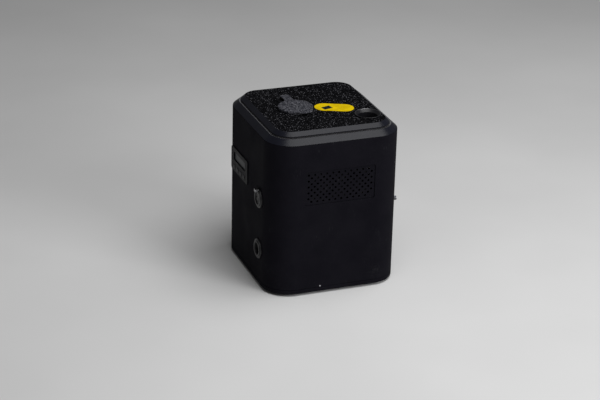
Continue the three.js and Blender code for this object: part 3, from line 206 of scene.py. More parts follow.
def lathe(name, profile, steps=96, x=0, y=0, edge=0):
    """Turns a profile of (radius, height) points about an upright axis.

    It is a closed loop, or it starts and ends on the axis. Its corners get the edge radius."""
    closed = profile[0][0] > ON_AXIS
    if edge:
        profile = softened(profile, edge, closed=closed)
    shape = bmesh.new()
    rings = []
    for radius, height in profile:
        if radius < ON_AXIS:
            rings.append([shape.verts.new((x, y, height))])
            continue
        rings.append([shape.verts.new((px, py, height)) for px, py in ring(radius, x, y, steps)])
    pairs = list(zip(rings, rings[1:]))
    if closed:
        pairs.append((rings[-1], rings[0]))
    for low, high in pairs:
        for i in range(steps):
            j = (i + 1) % steps
            corners = [low[i % len(low)], low[j % len(low)], high[j % len(high)],
                       high[i % len(high)]]
            corners = list(dict.fromkeys(corners))
            if len(corners) > 2:
                shape.faces.new(corners)
    return finish_mesh(name, shape)


def slab(name, loops, low, high):
    """A flat plate between two heights: the first loop is its outline, the rest are holes."""
    shape = bmesh.new()
    edges = []
    for loop in loops:
        corners = [shape.verts.new((x, y, low)) for x, y in loop]
        for i, corner in enumerate(corners):
            edges.append(shape.edges.new((corner, corners[(i + 1) % len(corners)])))
    filled = bmesh.ops.triangle_fill(shape, use_beauty=True, edges=edges)
    faces = [item for item in filled["geom"] if isinstance(item, bmesh.types.BMFace)]
    raised = bmesh.ops.extrude_face_region(shape, geom=faces)
    corners = [item for item in raised["geom"] if isinstance(item, bmesh.types.BMVert)]
    bmesh.ops.translate(shape, vec=(0, 0, high - low), verts=corners)
    return finish_mesh(name, shape)


def tower_piece(name, section, solid):
    """Loops round the tower at (inset, height) points, as a solid with flat ends or a ring."""
    shape = bmesh.new()
    rows = [[shape.verts.new((x, y, height)) for x, y in tower(inset)]
            for inset, height in section]
    for low, high in zip(rows, rows[1:] if solid else rows[1:] + rows[:1]):
        for i in range(len(low)):
            j = (i + 1) % len(low)
            shape.faces.new((low[i], low[j], high[j], high[i]))
    if solid:
        shape.faces.new(rows[0][::-1])
        shape.faces.new(rows[-1])
    return finish_mesh(name, shape)


def block_tool(low, high, turns=(0,)):
    """A block between two corners, once for each turn about the upright axis."""
    shape = bmesh.new()
    size = Vector(high) - Vector(low)
    centre = (Vector(high) + Vector(low)) / 2
    fit = Matrix.Translation(centre) @ Matrix.Diagonal((*size, 1))
    for turn in turns:
        bmesh.ops.create_cube(shape, size=1, matrix=Matrix.Rotation(turn, 4, "Z") @ fit)
    return finish_mesh("tool", shape)


def bake(obj):
    """Applies the modifiers."""
    graph = bpy.context.evaluated_depsgraph_get()
    mesh = bpy.data.meshes.new_from_object(obj.evaluated_get(graph))
    old = obj.data
    obj.modifiers.clear()
    obj.data = mesh
    bpy.data.meshes.remove(old)


def carve(obj, *tools, operation="DIFFERENCE"):
    for tool in tools:
        cutter = obj.modifiers.new("cut", "BOOLEAN")
        cutter.operation = operation
        cutter.solver = "EXACT"
        cutter.object = tool
    bake(obj)
    for tool in tools:
        bpy.data.objects.remove(tool)


def round_edges(obj, width, segments=2, angle=35):
    bevel = obj.modifiers.new("edges", "BEVEL")
    bevel.width = width * MM
    bevel.segments = segments
    bevel.limit_method = "ANGLE"
    bevel.angle_limit = math.radians(angle)
    bevel.use_clamp_overlap = True
    bake(obj)


def shade(obj, angle=32):
    obj.data.shade_smooth()
    obj.data.set_sharp_from_angle(angle=math.radians(angle))
    flat = obj.modifiers.new("normals", "WEIGHTED_NORMAL")
    flat.keep_sharp = True
    bake(obj)


# Walls: local x runs level, y up and z out of the wall
WALL_TURNS = {
    "front": Matrix(((1, 0, 0), (0, 0, -1), (0, 1, 0))),
    "back": Matrix(((-1, 0, 0), (0, 0, 1), (0, 1, 0))),
    "left": Matrix(((0, 0, -1), (-1, 0, 0), (0, 1, 0))),
    "right": Matrix(((0, 0, 1), (1, 0, 0), (0, 1, 0))),
}
WALL_PLACES = {
    "front": Vector((0, -DEPTH / 2, 0)),
    "back": Vector((0, DEPTH / 2, 0)),
    "left": Vector((-WIDTH / 2, 0, 0)),
    "right": Vector((WIDTH / 2, 0, 0)),
}


def wall_spot(side, node):
    """A node's middle in its wall's own directions: level place, height."""
    local = WALL_TURNS[side].transposed() @ (middle(node) - WALL_PLACES[side])
    return local.x, local.y


def to_wall(obj, side, level=0.0, height=0.0):
    turn = WALL_TURNS[side]
    place = WALL_PLACES[side] + turn @ Vector((level, height, 0))
    obj.data.transform(Matrix.Translation(place * MM) @ turn.to_4x4())
    return obj


# Materials, all procedural, in the object's own coordinates

# Sockets of the mix node when it mixes colours
MIX_FIRST = 6
MIX_SECOND = 7
MIX_RESULT = 2
# How much larger the marks of the gloss are than those of the colour
GLOSS_SCALE = 2.3


class Finish:
    """A surface whose colour, gloss and relief vary over it."""

    def __init__(self, name, color, roughness, metallic=0.0, specular=0.5):
        self.material = bpy.data.materials.new(name)
        self.material.use_nodes = True
        self.nodes = self.material.node_tree.nodes
        self.links = self.material.node_tree.links
        self.shader = self.nodes["Principled BSDF"]
        self.shader.inputs["Base Color"].default_value = (*color, 1)
        self.shader.inputs["Roughness"].default_value = roughness
        self.shader.inputs["Metallic"].default_value = metallic
        self.shader.inputs["Specular IOR Level"].default_value = specular
        self.place = self.nodes.new("ShaderNodeTexCoord").outputs["Object"]
        self.height = None

    def add(self, kind, *values):
        """A node with its first sockets linked to the values."""
        node = self.nodes.new("ShaderNode" + kind)
        for value, socket in zip(values, node.inputs):
            self.links.new(value, socket)
        return node

    def noise(self, size, detail=3.0, stretch=None):
        """A noise whose marks are about size millimetres across."""
        place = self.place
        if stretch:
            mapping = self.add("Mapping", place)
            mapping.inputs["Scale"].default_value = stretch
            place = mapping.outputs["Vector"]
        node = self.add("TexNoise", place)
        node.inputs["Scale"].default_value = 1 / (size * MM)
        node.inputs["Detail"].default_value = detail
        return node.outputs["Fac"]

    def cells(self, size, output="Distance"):
        """Flat cells about size millimetres across, seen from above."""
        node = self.add("TexVoronoi", self.place)
        node.voronoi_dimensions = "2D"
        node.inputs["Scale"].default_value = 1 / (size * MM)
        return node.outputs[output]

    def remap(self, value, *limits):
        """Maps the range between the first two limits onto that between the last two."""
        node = self.add("MapRange", value)
        for name, limit in zip(("From Min", "From Max", "To Min", "To Max"), limits):
            node.inputs[name].default_value = limit
        return node.outputs["Result"]

    def spread(self, value, low=0.35, high=0.65):
        """The part of a value between low and high, drawn out to run from 0 to 1."""
        return self.remap(value, low, high, 0, 1)

    def product(self, first, second):
        node = self.add("Math", first, second)
        node.operation = "MULTIPLY"
        return node.outputs["Value"]

    def blend(self, factor, low_color, high_color):
        node = self.add("Mix", factor)
        node.data_type = "RGBA"
        for index, color in ((MIX_FIRST, low_color), (MIX_SECOND, high_color)):
            if isinstance(color, tuple):
                node.inputs[index].default_value = (*color, 1)
            else:
                self.links.new(color, node.inputs[index])
        return node.outputs[MIX_RESULT]

    def near(self, spot, radius, fade):
        """1 within radius millimetres of a spot, falling to 0 over the fade."""
        node = self.add("VectorMath", self.place)
        node.operation = "DISTANCE"
        node.inputs[1].default_value = Vector(spot) * MM
        return self.remap(node.outputs["Value"], radius * MM, (radius + fade) * MM, 1, 0)

    def color(self, value):
        self.links.new(value, self.shader.inputs["Base Color"])

    def gloss(self, value, low, high):
        """Roughness that drifts between low and high with a noise."""
        rough = self.remap(value, 0.3, 0.7, low, high)
        self.links.new(rough, self.shader.inputs["Roughness"])

    def relief(self, value, depth):
        node = self.add("Bump")
        node.inputs["Distance"].default_value = depth * MM
        self.links.new(value, node.inputs["Height"])
        if self.height is not None:
            self.links.new(self.height, node.inputs["Normal"])
        self.height = node.outputs["Normal"]
        self.links.new(self.height, self.shader.inputs["Normal"])

    def mottled(self, size, dark, light, rough):
        """Colour and gloss that drift over the surface."""
        self.color(self.blend(self.spread(self.noise(size)), dark, light))
        self.gloss(self.noise(size * GLOSS_SCALE, detail=5.0), *rough)
        return self


def moulded(name, dark, light, rough, grain=0.5, depth=0.03, specular=0.5):
    """Moulded plastic or rubber with a fine spark-eroded grain."""
    finish = Finish(name, dark, rough[0], specular=specular).mottled(14, dark, light, rough)
    finish.relief(finish.noise(grain), depth)
    return finish.material


def machined(name, dark, light, rough, stretch=(1, 1, 14), grain=0.9, depth=0.02):
    """Metal with fine lines left by a tool, drawn out across the stretched direction."""
    finish = Finish(name, dark, rough[0], metallic=1.0).mottled(9, dark, light, rough)
    finish.relief(finish.noise(grain, stretch=stretch), depth)
    return finish.material


def powder_coat(name, dark, light, rough, specular, grain=0.035, worn=False):
    """Black powder coat: a fine grain, a slow drift of colour and gloss, and faint scuffs."""
    finish = Finish(name, dark, rough[0], specular=specular)
    base = finish.blend(finish.spread(finish.noise(30)), dark, light)
    specks = finish.spread(finish.noise(1.1, detail=1.0), 0.7, 0.76)
    base = finish.blend(specks, base, SPECK)
    scuffs = finish.product(finish.spread(finish.noise(26, detail=1.0), 0.6, 0.72),
                            finish.spread(finish.noise(1.6, stretch=(1, 1, 0.2)), 0.58, 0.7))
    base = finish.blend(scuffs, base, SCUFF)
    if worn:
        rubbed = finish.product(finish.near(RUB_SPOT, RUB_RADIUS, RUB_FADE),
                                finish.spread(finish.noise(2.5, detail=5.0), 0.42, 0.75))
        base = finish.blend(rubbed, base, SCUFF)
        base = finish.blend(finish.near(CHIP_SPOT, CHIP_RADIUS, CHIP_FADE), base, CHIP)
    finish.color(base)
    finish.gloss(finish.noise(45, detail=6.0), *rough)
    finish.relief(finish.noise(0.45, detail=2.0), grain)
    finish.relief(finish.noise(2.4, detail=2.0), grain / 2)
    return finish.material


def grit_coat(name, dark, light):
    """A coarse sandy coat with scattered bright grains."""
    finish = Finish(name, dark, 0.9, specular=0.03)
    base = finish.blend(finish.spread(finish.noise(2.2, detail=6.0)), dark, light)
    for size, share, color in ((1.1, 0.62, FINE_GRAIN), (1.6, 0.78, GRAIN)):
        bright = finish.spread(finish.cells(size, output="Color"), share, share + 0.04)
        near = finish.remap(finish.cells(size), 0.3, 0.5, 1, 0)
        base = finish.blend(finish.product(bright, near), base, color)
    finish.color(base)
    finish.gloss(finish.noise(1.4), 0.7, 1.0)
    finish.relief(finish.cells(1.3), -0.4)
    finish.relief(finish.noise(1.6, detail=4.0), 0.4)
    return finish.material


SPECK = (0.013, 0.013, 0.016)
SCUFF = (0.016, 0.016, 0.019)
CHIP = (0.4, 0.4, 0.42)
RUB_SPOT = (61, -DEPTH / 2, 22)
RUB_RADIUS = 3
RUB_FADE = 12
CHIP_SPOT = (-24, -DEPTH / 2, 12)
CHIP_RADIUS = 0.8
CHIP_FADE = 0.5
GRAIN = (0.115, 0.115, 0.127)
FINE_GRAIN = (0.018, 0.018, 0.021)
BLACK_COAT = ((0.0048, 0.0044, 0.0072), (0.0066, 0.0061, 0.0092), (0.7, 0.82), 0.05)

paint = powder_coat("black_paint", *BLACK_COAT)
shell_paint = powder_coat("shell_paint", *BLACK_COAT, worn=True)
satin_paint = powder_coat("satin_paint", (0.0055, 0.006, 0.01), (0.007, 0.0075, 0.0125),
                          (0.26, 0.32), 0.17, grain=0.012)
grit = grit_coat("grit_paint", (0.0004, 0.0004, 0.0007), (0.0018, 0.0018, 0.0023))
seal_rubber = moulded("seal_rubber", (0.005, 0.005, 0.006), (0.008, 0.008, 0.009), (0.7, 0.9))
foot_rubber = moulded("foot_rubber", (0.008, 0.008, 0.009), (0.013, 0.013, 0.014), (0.65, 0.85))
# Near-black fan plastic: black plastic darkened further as painted shade behind the grille holes
fan_plastic = moulded("fan_plastic", (0.003, 0.003, 0.0036), (0.005, 0.005, 0.006), (0.6, 0.75),
                      specular=0.15)
insert_plastic = moulded("insert_plastic", (0.011, 0.011, 0.012), (0.016, 0.016, 0.017),
                         (0.4, 0.55), grain=0.3, depth=0.015)
impeller_plastic = moulded("impeller_plastic", (0.21, 0.22, 0.24), (0.28, 0.29, 0.31),
                           (0.4, 0.55))
blue_plastic = moulded("power_in_plastic", (0.018, 0.08, 0.34), (0.024, 0.1, 0.42), (0.3, 0.42),
                       grain=0.3, depth=0.012)
grey_plastic = moulded("power_out_plastic", (0.22, 0.23, 0.25), (0.27, 0.28, 0.3), (0.32, 0.44),
                       grain=0.3, depth=0.012)
bezel_plastic = moulded("bezel_plastic", (0.006, 0.006, 0.007), (0.008, 0.008, 0.01),
                        (0.5, 0.62), grain=0.35, depth=0.012, specular=0.15)
button_plastic = moulded("button_plastic", (0.02, 0.02, 0.023), (0.03, 0.03, 0.034), (0.45, 0.6),
                         grain=0.3, depth=0.012, specular=0.3)
switch_plastic = moulded("switch_plastic", (0.009, 0.009, 0.011), (0.014, 0.014, 0.016),
                         (0.22, 0.34), grain=0.4, depth=0.008)
gear_plastic = moulded("gear_plastic", (0.62, 0.59, 0.52), (0.74, 0.71, 0.64), (0.4, 0.55))
ceramic = moulded("heater_ceramic", (0.6, 0.56, 0.48), (0.74, 0.7, 0.62), (0.8, 0.95),
                  grain=1.2, depth=0.15)
board = moulded("board_laminate", (0.012, 0.085, 0.035), (0.018, 0.12, 0.05), (0.3, 0.45),
                grain=2.5, depth=0.03)
mark_white = moulded("switch_mark", (0.62, 0.62, 0.6), (0.74, 0.74, 0.72), (0.4, 0.5), grain=0.3,
                     depth=0.01)
# Painted highlight and painted shade on the outlet rim: a bright copy of the steel for the lit
# inner chamfer, a near-black copy for the rest
painted_highlight_steel = machined("bright_rim", (0.2, 0.2, 0.21), (0.28, 0.28, 0.29), (0.26, 0.36))
painted_shade_steel = moulded("painted_shade_steel", (0.005, 0.005, 0.007), (0.009, 0.009, 0.011), (0.36, 0.44),
                      grain=0.6, depth=0.01, specular=0.3)
# Bright metal for the frame's ledge: a painted highlight that stands in for the light the ledge
# catches
painted_highlight_ledge = machined("painted_highlight_ledge", (0.64, 0.64, 0.68), (0.78, 0.78, 0.82), (0.22, 0.32))
collar_metal = machined("collar_metal", (0.2, 0.2, 0.215), (0.27, 0.27, 0.285), (0.32, 0.45))
chassis = machined("chassis_steel", (0.44, 0.44, 0.43), (0.58, 0.57, 0.55), (0.35, 0.5),
                   stretch=(1, 12, 1), grain=2.0)
feed_metal = machined("feed_metal", (0.5, 0.5, 0.51), (0.62, 0.62, 0.63), (0.3, 0.42))
screw_steel = machined("screw_steel", (0.36, 0.35, 0.34), (0.48, 0.47, 0.46), (0.25, 0.4))
motor_steel = machined("motor_steel", (0.34, 0.34, 0.36), (0.44, 0.44, 0.46), (0.35, 0.5),
                       stretch=(6, 6, 1))
pinion_brass = machined("pinion_brass", (0.55, 0.36, 0.1), (0.66, 0.45, 0.15), (0.25, 0.38))
copper = machined("coil_copper", (0.52, 0.18, 0.08), (0.66, 0.27, 0.13), (0.3, 0.45))
duct_metal = machined("duct_metal", (0.44, 0.44, 0.46), (0.54, 0.54, 0.56), (0.4, 0.55))
supply_case = machined("supply_case", (0.5, 0.51, 0.52), (0.6, 0.61, 0.62), (0.35, 0.5),
                       stretch=(14, 1, 1), grain=1.4)
socket_metal = moulded("socket_metal", (0.012, 0.012, 0.014), (0.018, 0.018, 0.02),
                       (0.36, 0.48), grain=0.5, depth=0.01, specular=0.4)
pin_metal = machined("latch_nickel", (0.2, 0.2, 0.21), (0.28, 0.28, 0.29), (0.3, 0.4),
                     stretch=(1, 1, 1), grain=0.5, depth=0.008)
aerial_nickel = machined("aerial_nickel", (0.36, 0.36, 0.37), (0.48, 0.48, 0.49), (0.25, 0.38),
                         stretch=(1, 1, 1), grain=0.5, depth=0.008)


def dusty_rubber():
    """Grey rubber under a film of fine pale dust."""
    finish = Finish("cap_rubber", (0.03, 0.03, 0.038), 0.85, specular=0.15)
    drift = finish.spread(finish.noise(4.5, detail=4.0), 0.42, 0.58)
    base = finish.blend(drift, (0.012, 0.013, 0.018), (0.048, 0.048, 0.058))
    flecks = finish.spread(finish.noise(2.1, detail=2.0), 0.57, 0.66)
    finish.color(finish.blend(flecks, base, (0.15, 0.15, 0.165)))
    finish.gloss(finish.noise(4), 0.7, 0.95)
    finish.relief(finish.noise(0.7, detail=3.0), 0.12)
    finish.relief(finish.noise(5), 0.25)
    return finish.material


def sign_yellow():
    """A printed yellow plate, a little dirty."""
    finish = Finish("plate_yellow", (0.68, 0.49, 0.002), 0.55, specular=0.03)
    drift = finish.spread(finish.noise(9, detail=6.0), 0.38, 0.66)
    base = finish.blend(drift, (0.68, 0.49, 0.002), (0.55, 0.385, 0.002))
    dirt = finish.remap(finish.noise(2.2, detail=3.0), 0.56, 0.72, 0, 0.7)
    finish.color(finish.blend(dirt, base, (0.3, 0.2, 0.004)))
    finish.gloss(finish.noise(6), 0.5, 0.7)
    finish.relief(finish.noise(1.1), 0.03)
    return finish.material


def window_glass():
    finish = Finish("menu_glass", (0.006, 0.009, 0.012), 0.3, specular=0.15)
    finish.mottled(20, (0.005, 0.008, 0.011), (0.008, 0.012, 0.016), (0.28, 0.36))
    finish.relief(finish.noise(12), 0.01)
    return finish.material


cap_rubber = dusty_rubber()
plate_yellow = sign_yellow()
menu_glass = window_glass()
sign_black = moulded("plate_black", (0.006, 0.009, 0.009), (0.009, 0.013, 0.013), (0.5, 0.65),
                     grain=0.4, depth=0.01, specular=0.1)


# What becomes of a finished piece

def coat(obj, material):
    obj.data.materials.clear()
    obj.data.materials.append(material)


def place(obj, material, slot, nodes=(), body="housing", angle=32):
    coat(obj, material)
    shade(obj, angle)
    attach(obj, body)
    if nodes:
        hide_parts(*nodes)


def repaint(obj, material, test):
    """Gives the faces whose normal and middle pass the test another material."""
    obj.data.materials.append(material)
    index = len(obj.data.materials) - 1
    for face in obj.data.polygons:
        if test(face.normal, face.center / MM):
            face.material_index = index


# Housing

BASE_SLOT_LENGTH = 56
BASE_SLOT_WIDTH = 5
BASE_SLOT_PITCH = 11
BASE_SLOT_COUNT = 5
BASE_SLOT_FRONT = 40
FOOT_COUNT = 4
FOOT_TAPER = 2


def base_plate():
    low, high = span("base_plate")
    side = softened([(WALL, low.z), (0, low.z), (0, high.z), (WALL, high.z)], EDGE, closed=False)
    plate = tower_piece("base", side, solid=True)
    slots = []
    for i in range(BASE_SLOT_COUNT):
        y = -DEPTH / 2 + BASE_SLOT_FRONT + (i - (BASE_SLOT_COUNT - 1) / 2) * BASE_SLOT_PITCH
        slot = rounded_box(BASE_SLOT_LENGTH, BASE_SLOT_WIDTH, BASE_SLOT_WIDTH / 2, 0, y)
        slots.append(slab("tool", [slot], low.z - OVERRUN, high.z + OVERRUN))
    carve(plate, *slots)
    place(plate, paint, "black_paint", ["base_plate"])


def feet():
    for i in range(1, FOOT_COUNT + 1):
        node = f"foot_{i}"
        low, high = span(node)
        centre = (low + high) / 2
        radius = (high.x - low.x) / 2
        profile = [(0, low.z), (radius - FOOT_TAPER, low.z), (radius, high.z), (0, high.z)]
        pad = lathe(f"rubber_foot_{i}", profile, 48, centre.x, centre.y, FOOT_EDGE)
        place(pad, foot_rubber, "foot_rubber", [node])


REAR_SLOT_WIDTH = 62
REAR_SLOT_HEIGHT = 4
REAR_SLOT_PITCH = 9
REAR_SLOT_COUNT = 6
REAR_SLOT_TOP_DROP = 22
GRILLE_SEAT = 2.4
SOCKET_RADIUS = 12
WINDOW = (52, 15)
HOLE_CORNER = 1
BUTTON_RADIUS = 3.6
BUTTON_COUNT = 4
SWITCH_HOLE = (13.6, 21.4)
FUSE_RADIUS = 7
AERIAL_RADIUS = 3.1
grille_low, grille_high = span("front_grille")
GRILLE_WIDTH = grille_high.x - grille_low.x
GRILLE_HEIGHT = grille_high.z - grille_low.z
GRILLE_CORNER = 3
GRILLE_SINK = 2.5


def wall_tool(side, loop, depth):
    return to_wall(slab("tool", [loop], -depth, OVERRUN), side)


def body_shell():
    low, high = shell_low.z, shell_high.z
    section = softened([(0, low), (0, high), (WALL, high), (WALL, low)], EDGE)
    shell = tower_piece("shell", section, solid=False)
    through = WALL + OVERRUN
    tools = []

    def hole(side, node, outline, *sizes, depth=through, **more):
        level, rise = wall_spot(side, node)
        tools.append(wall_tool(side, outline(*sizes, level, rise, **more), depth))

    for margin, depth in ((-GRILLE_SEAT, through), (GAP, GRILLE_SINK)):
        hole("front", "front_grille", rounded_box, GRILLE_WIDTH + 2 * margin,
             GRILLE_HEIGHT + 2 * margin, GRILLE_CORNER, depth=depth)
    for side, node in (("left", "data_out_shell"), ("left", "data_in_shell"),
                       ("right", "power_in_socket"), ("right", "power_out_socket")):
        hole(side, node, ring, SOCKET_RADIUS + GAP, steps=48)
    hole("left", "menu_window", rounded_box, WINDOW[0] + 2 * GAP, WINDOW[1] + 2 * GAP, HOLE_CORNER)
    for i in range(1, BUTTON_COUNT + 1):
        hole("left", f"menu_button_{i}", ring, BUTTON_RADIUS + GAP)
    hole("right", "switch_frame", rounded_box, *SWITCH_HOLE, HOLE_CORNER)
    hole("right", "fuse_holder", ring, FUSE_RADIUS + GAP)
    hole("right", "aerial_socket", ring, AERIAL_RADIUS + GAP)
    for i in range(REAR_SLOT_COUNT):
        rise = high - REAR_SLOT_TOP_DROP - i * REAR_SLOT_PITCH
        tools.append(wall_tool("back", rounded_box(REAR_SLOT_WIDTH, REAR_SLOT_HEIGHT,
                                                   REAR_SLOT_HEIGHT / 2, 0, rise), through))
    carve(shell, *tools)
    round_edges(shell, EDGE, angle=40)
    place(shell, shell_paint, "black_paint", ["body_shell"])


# Upward shares of the normal that mark a chamfer, the ledge (painted bright metal as a painted
# highlight) and the flat top
SLOPE_FROM = 0.6
SLOPE_TO = 0.85
LEDGE_FROM = 0.97
FLAT_FROM = 0.999


def top_frame():
    low, high = span("top_frame")
    section = softened([(0, low.z), (LOWER_TIER_INSET, high.z), (OPENING_INSET, high.z),
                        (OPENING_INSET, low.z)], KEY_EDGE)
    tier = tower_piece("lower_tier", section, solid=False)
    place(tier, paint, "black_paint", ["top_frame"])
    repaint(tier, satin_paint, lambda normal, spot: SLOPE_FROM < normal.z < SLOPE_TO)
    # The ledge gets the bright metal as a painted highlight
    repaint(tier, painted_highlight_ledge, lambda normal, spot: normal.z > LEDGE_FROM)


SEAL_SETBACK = 0.6
SEAL_WIDTH = 6


def top_seal():
    low, high = span("top_seal")
    outer = LID_FOOT_INSET + SEAL_SETBACK
    section = softened([(outer, low.z), (outer, high.z), (outer + SEAL_WIDTH, high.z),
                        (outer + SEAL_WIDTH, low.z)], SEAL_EDGE)
    seal = tower_piece("seal", section, solid=False)
    place(seal, seal_rubber, "seal_rubber", ["top_seal"])


MOUTH = 18
THROAT = 14
nozzle = middle("nozzle_rim")
port = middle("feed_collar")
lid_low, lid_high = span("top_lid")
PORT_HOLE = 20.3
UNDERCUT = 0.9
TOP_MARGIN = 10


def top_lid():
    low, high = lid_low.z, lid_high.z
    lean = (LID_TOP_INSET - LID_FOOT_INSET) / (high - low)
    edge = softened([(LID_FOOT_INSET + UNDERCUT, low),
                     (LID_FOOT_INSET + lean * UNDERCUT, low + UNDERCUT),
                     (LID_TOP_INSET, high), (LID_TOP_INSET + TOP_MARGIN, high)],
                    KEY_EDGE, closed=False)
    lid = tower_piece("lid", edge[:-1], solid=True)
    hollow = tower_piece("tool", [(OPENING_INSET, low - OVERRUN),
                                  (OPENING_INSET, high - LID_WALL)], solid=True)
    holes = [slab("tool", [ring(radius, spot.x, spot.y, 96)], low - OVERRUN, high + OVERRUN)
             for radius, spot in ((PORT_HOLE, port), (MOUTH + GAP, nozzle))]
    carve(lid, hollow, *holes)
    place(lid, paint, "grit_paint", ["top_lid"])
    repaint(lid, satin_paint, lambda normal, spot: SLOPE_FROM < normal.z <= FLAT_FROM)
    repaint(lid, grit, lambda normal, spot: normal.z > FLAT_FROM and spot.z > high - GAP)


CHAMFER_DEPTH = 4
# The mouth's chamfer faces between these upward shares get the bright steel as a painted highlight
BRIGHT_FROM = 0.78
BRIGHT_TO = 0.98


def nozzle_rim():
    low, high = span("nozzle_rim")
    seat = lid_high.z + GAP
    lip = (high.x - low.x) / 2
    profile = softened([(THROAT, low.z), (MOUTH, low.z), (MOUTH, seat), (lip, seat),
                        (lip, high.z), (MOUTH, high.z),
                        (THROAT, high.z - CHAMFER_DEPTH)], RIM_EDGE, steps=5)
    rim = lathe("outlet_rim", profile, 128, nozzle.x, nozzle.y)
    # Near-black steel is painted shade and dark reflection on the rim; the chamfer gets the bright
    # copy as a painted highlight
    place(rim, painted_shade_steel, "bright_rim", ["nozzle_rim"])
    repaint(rim, painted_highlight_steel, lambda normal, spot: BRIGHT_FROM < normal.z < BRIGHT_TO
            and math.hypot(spot.x - nozzle.x, spot.y - nozzle.y) < MOUTH + GAP)


PORT_RADIUS = 17.5
COLLAR_WALL = 2.5


def feed_collar():
    low, high = span("feed_collar")
    seat = lid_high.z + GAP
    flange = (high.x - low.x) / 2
    outside = PORT_RADIUS + COLLAR_WALL
    profile = [(PORT_RADIUS, low.z), (outside, low.z), (outside, seat), (flange, seat),
               (flange, high.z), (PORT_RADIUS, high.z)]
    collar = lathe("port_collar", profile, 128, port.x, port.y, TURNED_EDGE)
    place(collar, collar_metal, "collar_metal", ["feed_collar"])


cap_low, cap_high = span("feed_cap")
CAP_RADIUS = (cap_high.x - cap_low.x) / 2
CAP_THICKNESS = 2.9
CAP_CROWN = 0.3
CAP_SHOULDER = 5
CAP_SOFTNESS = 1.2
SKIRT_WALL = 2.5
PLUG_HOLLOW = 13
GRIP_DROP = 0.4
TAB_LENGTH = cap_high.y - port.y
TAB_ROOT_SHARE = 0.66
TAB_NECK_SHARE = 0.6
TAB_NECK = 13
TAB_END = 14.5
TAB_THICKNESS = 2.4
LIP_ROOT = 1
LIP_REACH = 6.8
LIP_START = math.radians(-120)
LIP_END = math.radians(-22)
LIP_THICKNESS = 2.2
CAP_VOXEL = 0.45


def tab_outline():
    root = CAP_RADIUS * TAB_ROOT_SHARE
    neck = TAB_NECK / 2
    neck_y = TAB_LENGTH * TAB_NECK_SHARE
    end = TAB_END / 2
    end_y = TAB_LENGTH - end
    right = curve((root, root), (neck, (root + neck_y) / 2), (neck, neck_y), 10)[:-1]
    right += curve((neck, neck_y), (neck, (neck_y + end_y) / 2), (end, end_y), 10)[:-1]
    tip = [polar(end, math.pi * i / 16, y=end_y) for i in range(17)]
    left = [(-x, y) for x, y in reversed(right[1:])]
    return right + tip + left + [(-root, root)]


def lip_outline():
    """A broad lip that swells out of the front of the cap's rim."""
    steps = 32
    points = [(0, 0)]
    for i in range(steps + 1):
        angle = LIP_START + (LIP_END - LIP_START) * i / steps
        radius = CAP_RADIUS - LIP_ROOT + LIP_REACH * math.sin(math.pi * i / steps) ** 2
        points.append(polar(radius, angle))
    return points


def feed_cap():
    low, high = cap_low, cap_high
    seat = high.z - CAP_THICKNESS
    skirt = lid_high.z + GAP
    inside = CAP_RADIUS - SKIRT_WALL
    profile = [(0, seat), (PLUG_HOLLOW, seat), (PLUG_HOLLOW, low.z), (PORT_RADIUS - GAP, low.z),
               (PORT_RADIUS - GAP, seat), (inside, seat), (inside, skirt), (CAP_RADIUS, skirt),
               (CAP_RADIUS, high.z - CAP_CROWN), (CAP_RADIUS - CAP_SHOULDER, high.z), (0, high.z)]
    cap = lathe("port_cap", profile, 128, port.x, port.y, CAP_SOFTNESS)
    grips = []
    for outline, thickness in ((tab_outline(), TAB_THICKNESS), (lip_outline(), LIP_THICKNESS)):
        loop = [(x + port.x, y + port.y) for x, y in outline]
        grips.append(slab("tool", [loop], high.z - thickness, high.z - GRIP_DROP))
    carve(cap, *grips, operation="UNION")
    remesh = cap.modifiers.new("skin", "REMESH")
    remesh.mode = "VOXEL"
    remesh.voxel_size = CAP_VOXEL * MM
    smooth = cap.modifiers.new("smooth", "SMOOTH")
    smooth.iterations = 6
    bake(cap)
    place(cap, cap_rubber, "cap_rubber", ["feed_cap"], body="feed_cap", angle=80)


PLATE_LOBES = ((12.4, -8.7), (38, -19.7))
PLATE_RADIUS = 14.6
PLATE_WAIST = 0.6
PLATE_THICKNESS = 0.5
LOZENGE_SPOT = (14.7, -12.5)
LOZENGE_HALF_ACROSS = (8, -3)
LOZENGE_HALF_UP = (5.6, 6.8)
LOZENGE_THICKNESS = 0.08
LOZENGE_CORNER = 0.5


def capsule_plate():
    """A bare capsule-shaped plate that lies between the port and the outlet."""
    first, second = Vector(PLATE_LOBES[0]), Vector(PLATE_LOBES[1])
    along = (second - first).normalized()
    side = Vector((-along.y, along.x))
    angle = math.atan2(along.y, along.x)
    waist = (PLATE_RADIUS - PLATE_WAIST) * side
    steps = 24
    points = []
    for lobe, start, turn in ((second, angle - math.pi / 2, 1), (first, angle + math.pi / 2, -1)):
        for i in range(steps + 1):
            points.append(lobe + Vector(polar(1, start + math.pi * i / steps)) * PLATE_RADIUS)
        points.append((first + second) / 2 + waist * turn)
    base = lid_high.z
    plate = slab("capsule_plate", [points], base, base + PLATE_THICKNESS)
    round_edges(plate, PLATE_EDGE)
    place(plate, plate_yellow, "grit_paint")
    spot = Vector(LOZENGE_SPOT)
    across = Vector(LOZENGE_HALF_ACROSS)
    up = Vector(LOZENGE_HALF_UP)
    corners = [spot - across, spot - up, spot + across, spot + up]
    base += PLATE_THICKNESS
    sign = slab("plate_lozenge", [softened(corners, LOZENGE_CORNER)],
                base, base + LOZENGE_THICKNESS)
    place(sign, sign_black, "grit_paint")


GRILLE_ROWS = 10
GRILLE_ROW_HOLES = 11
GRILLE_PITCH = 9.05
GRILLE_ROW_PITCH = 4.5
GRILLE_HOLE = 1.65


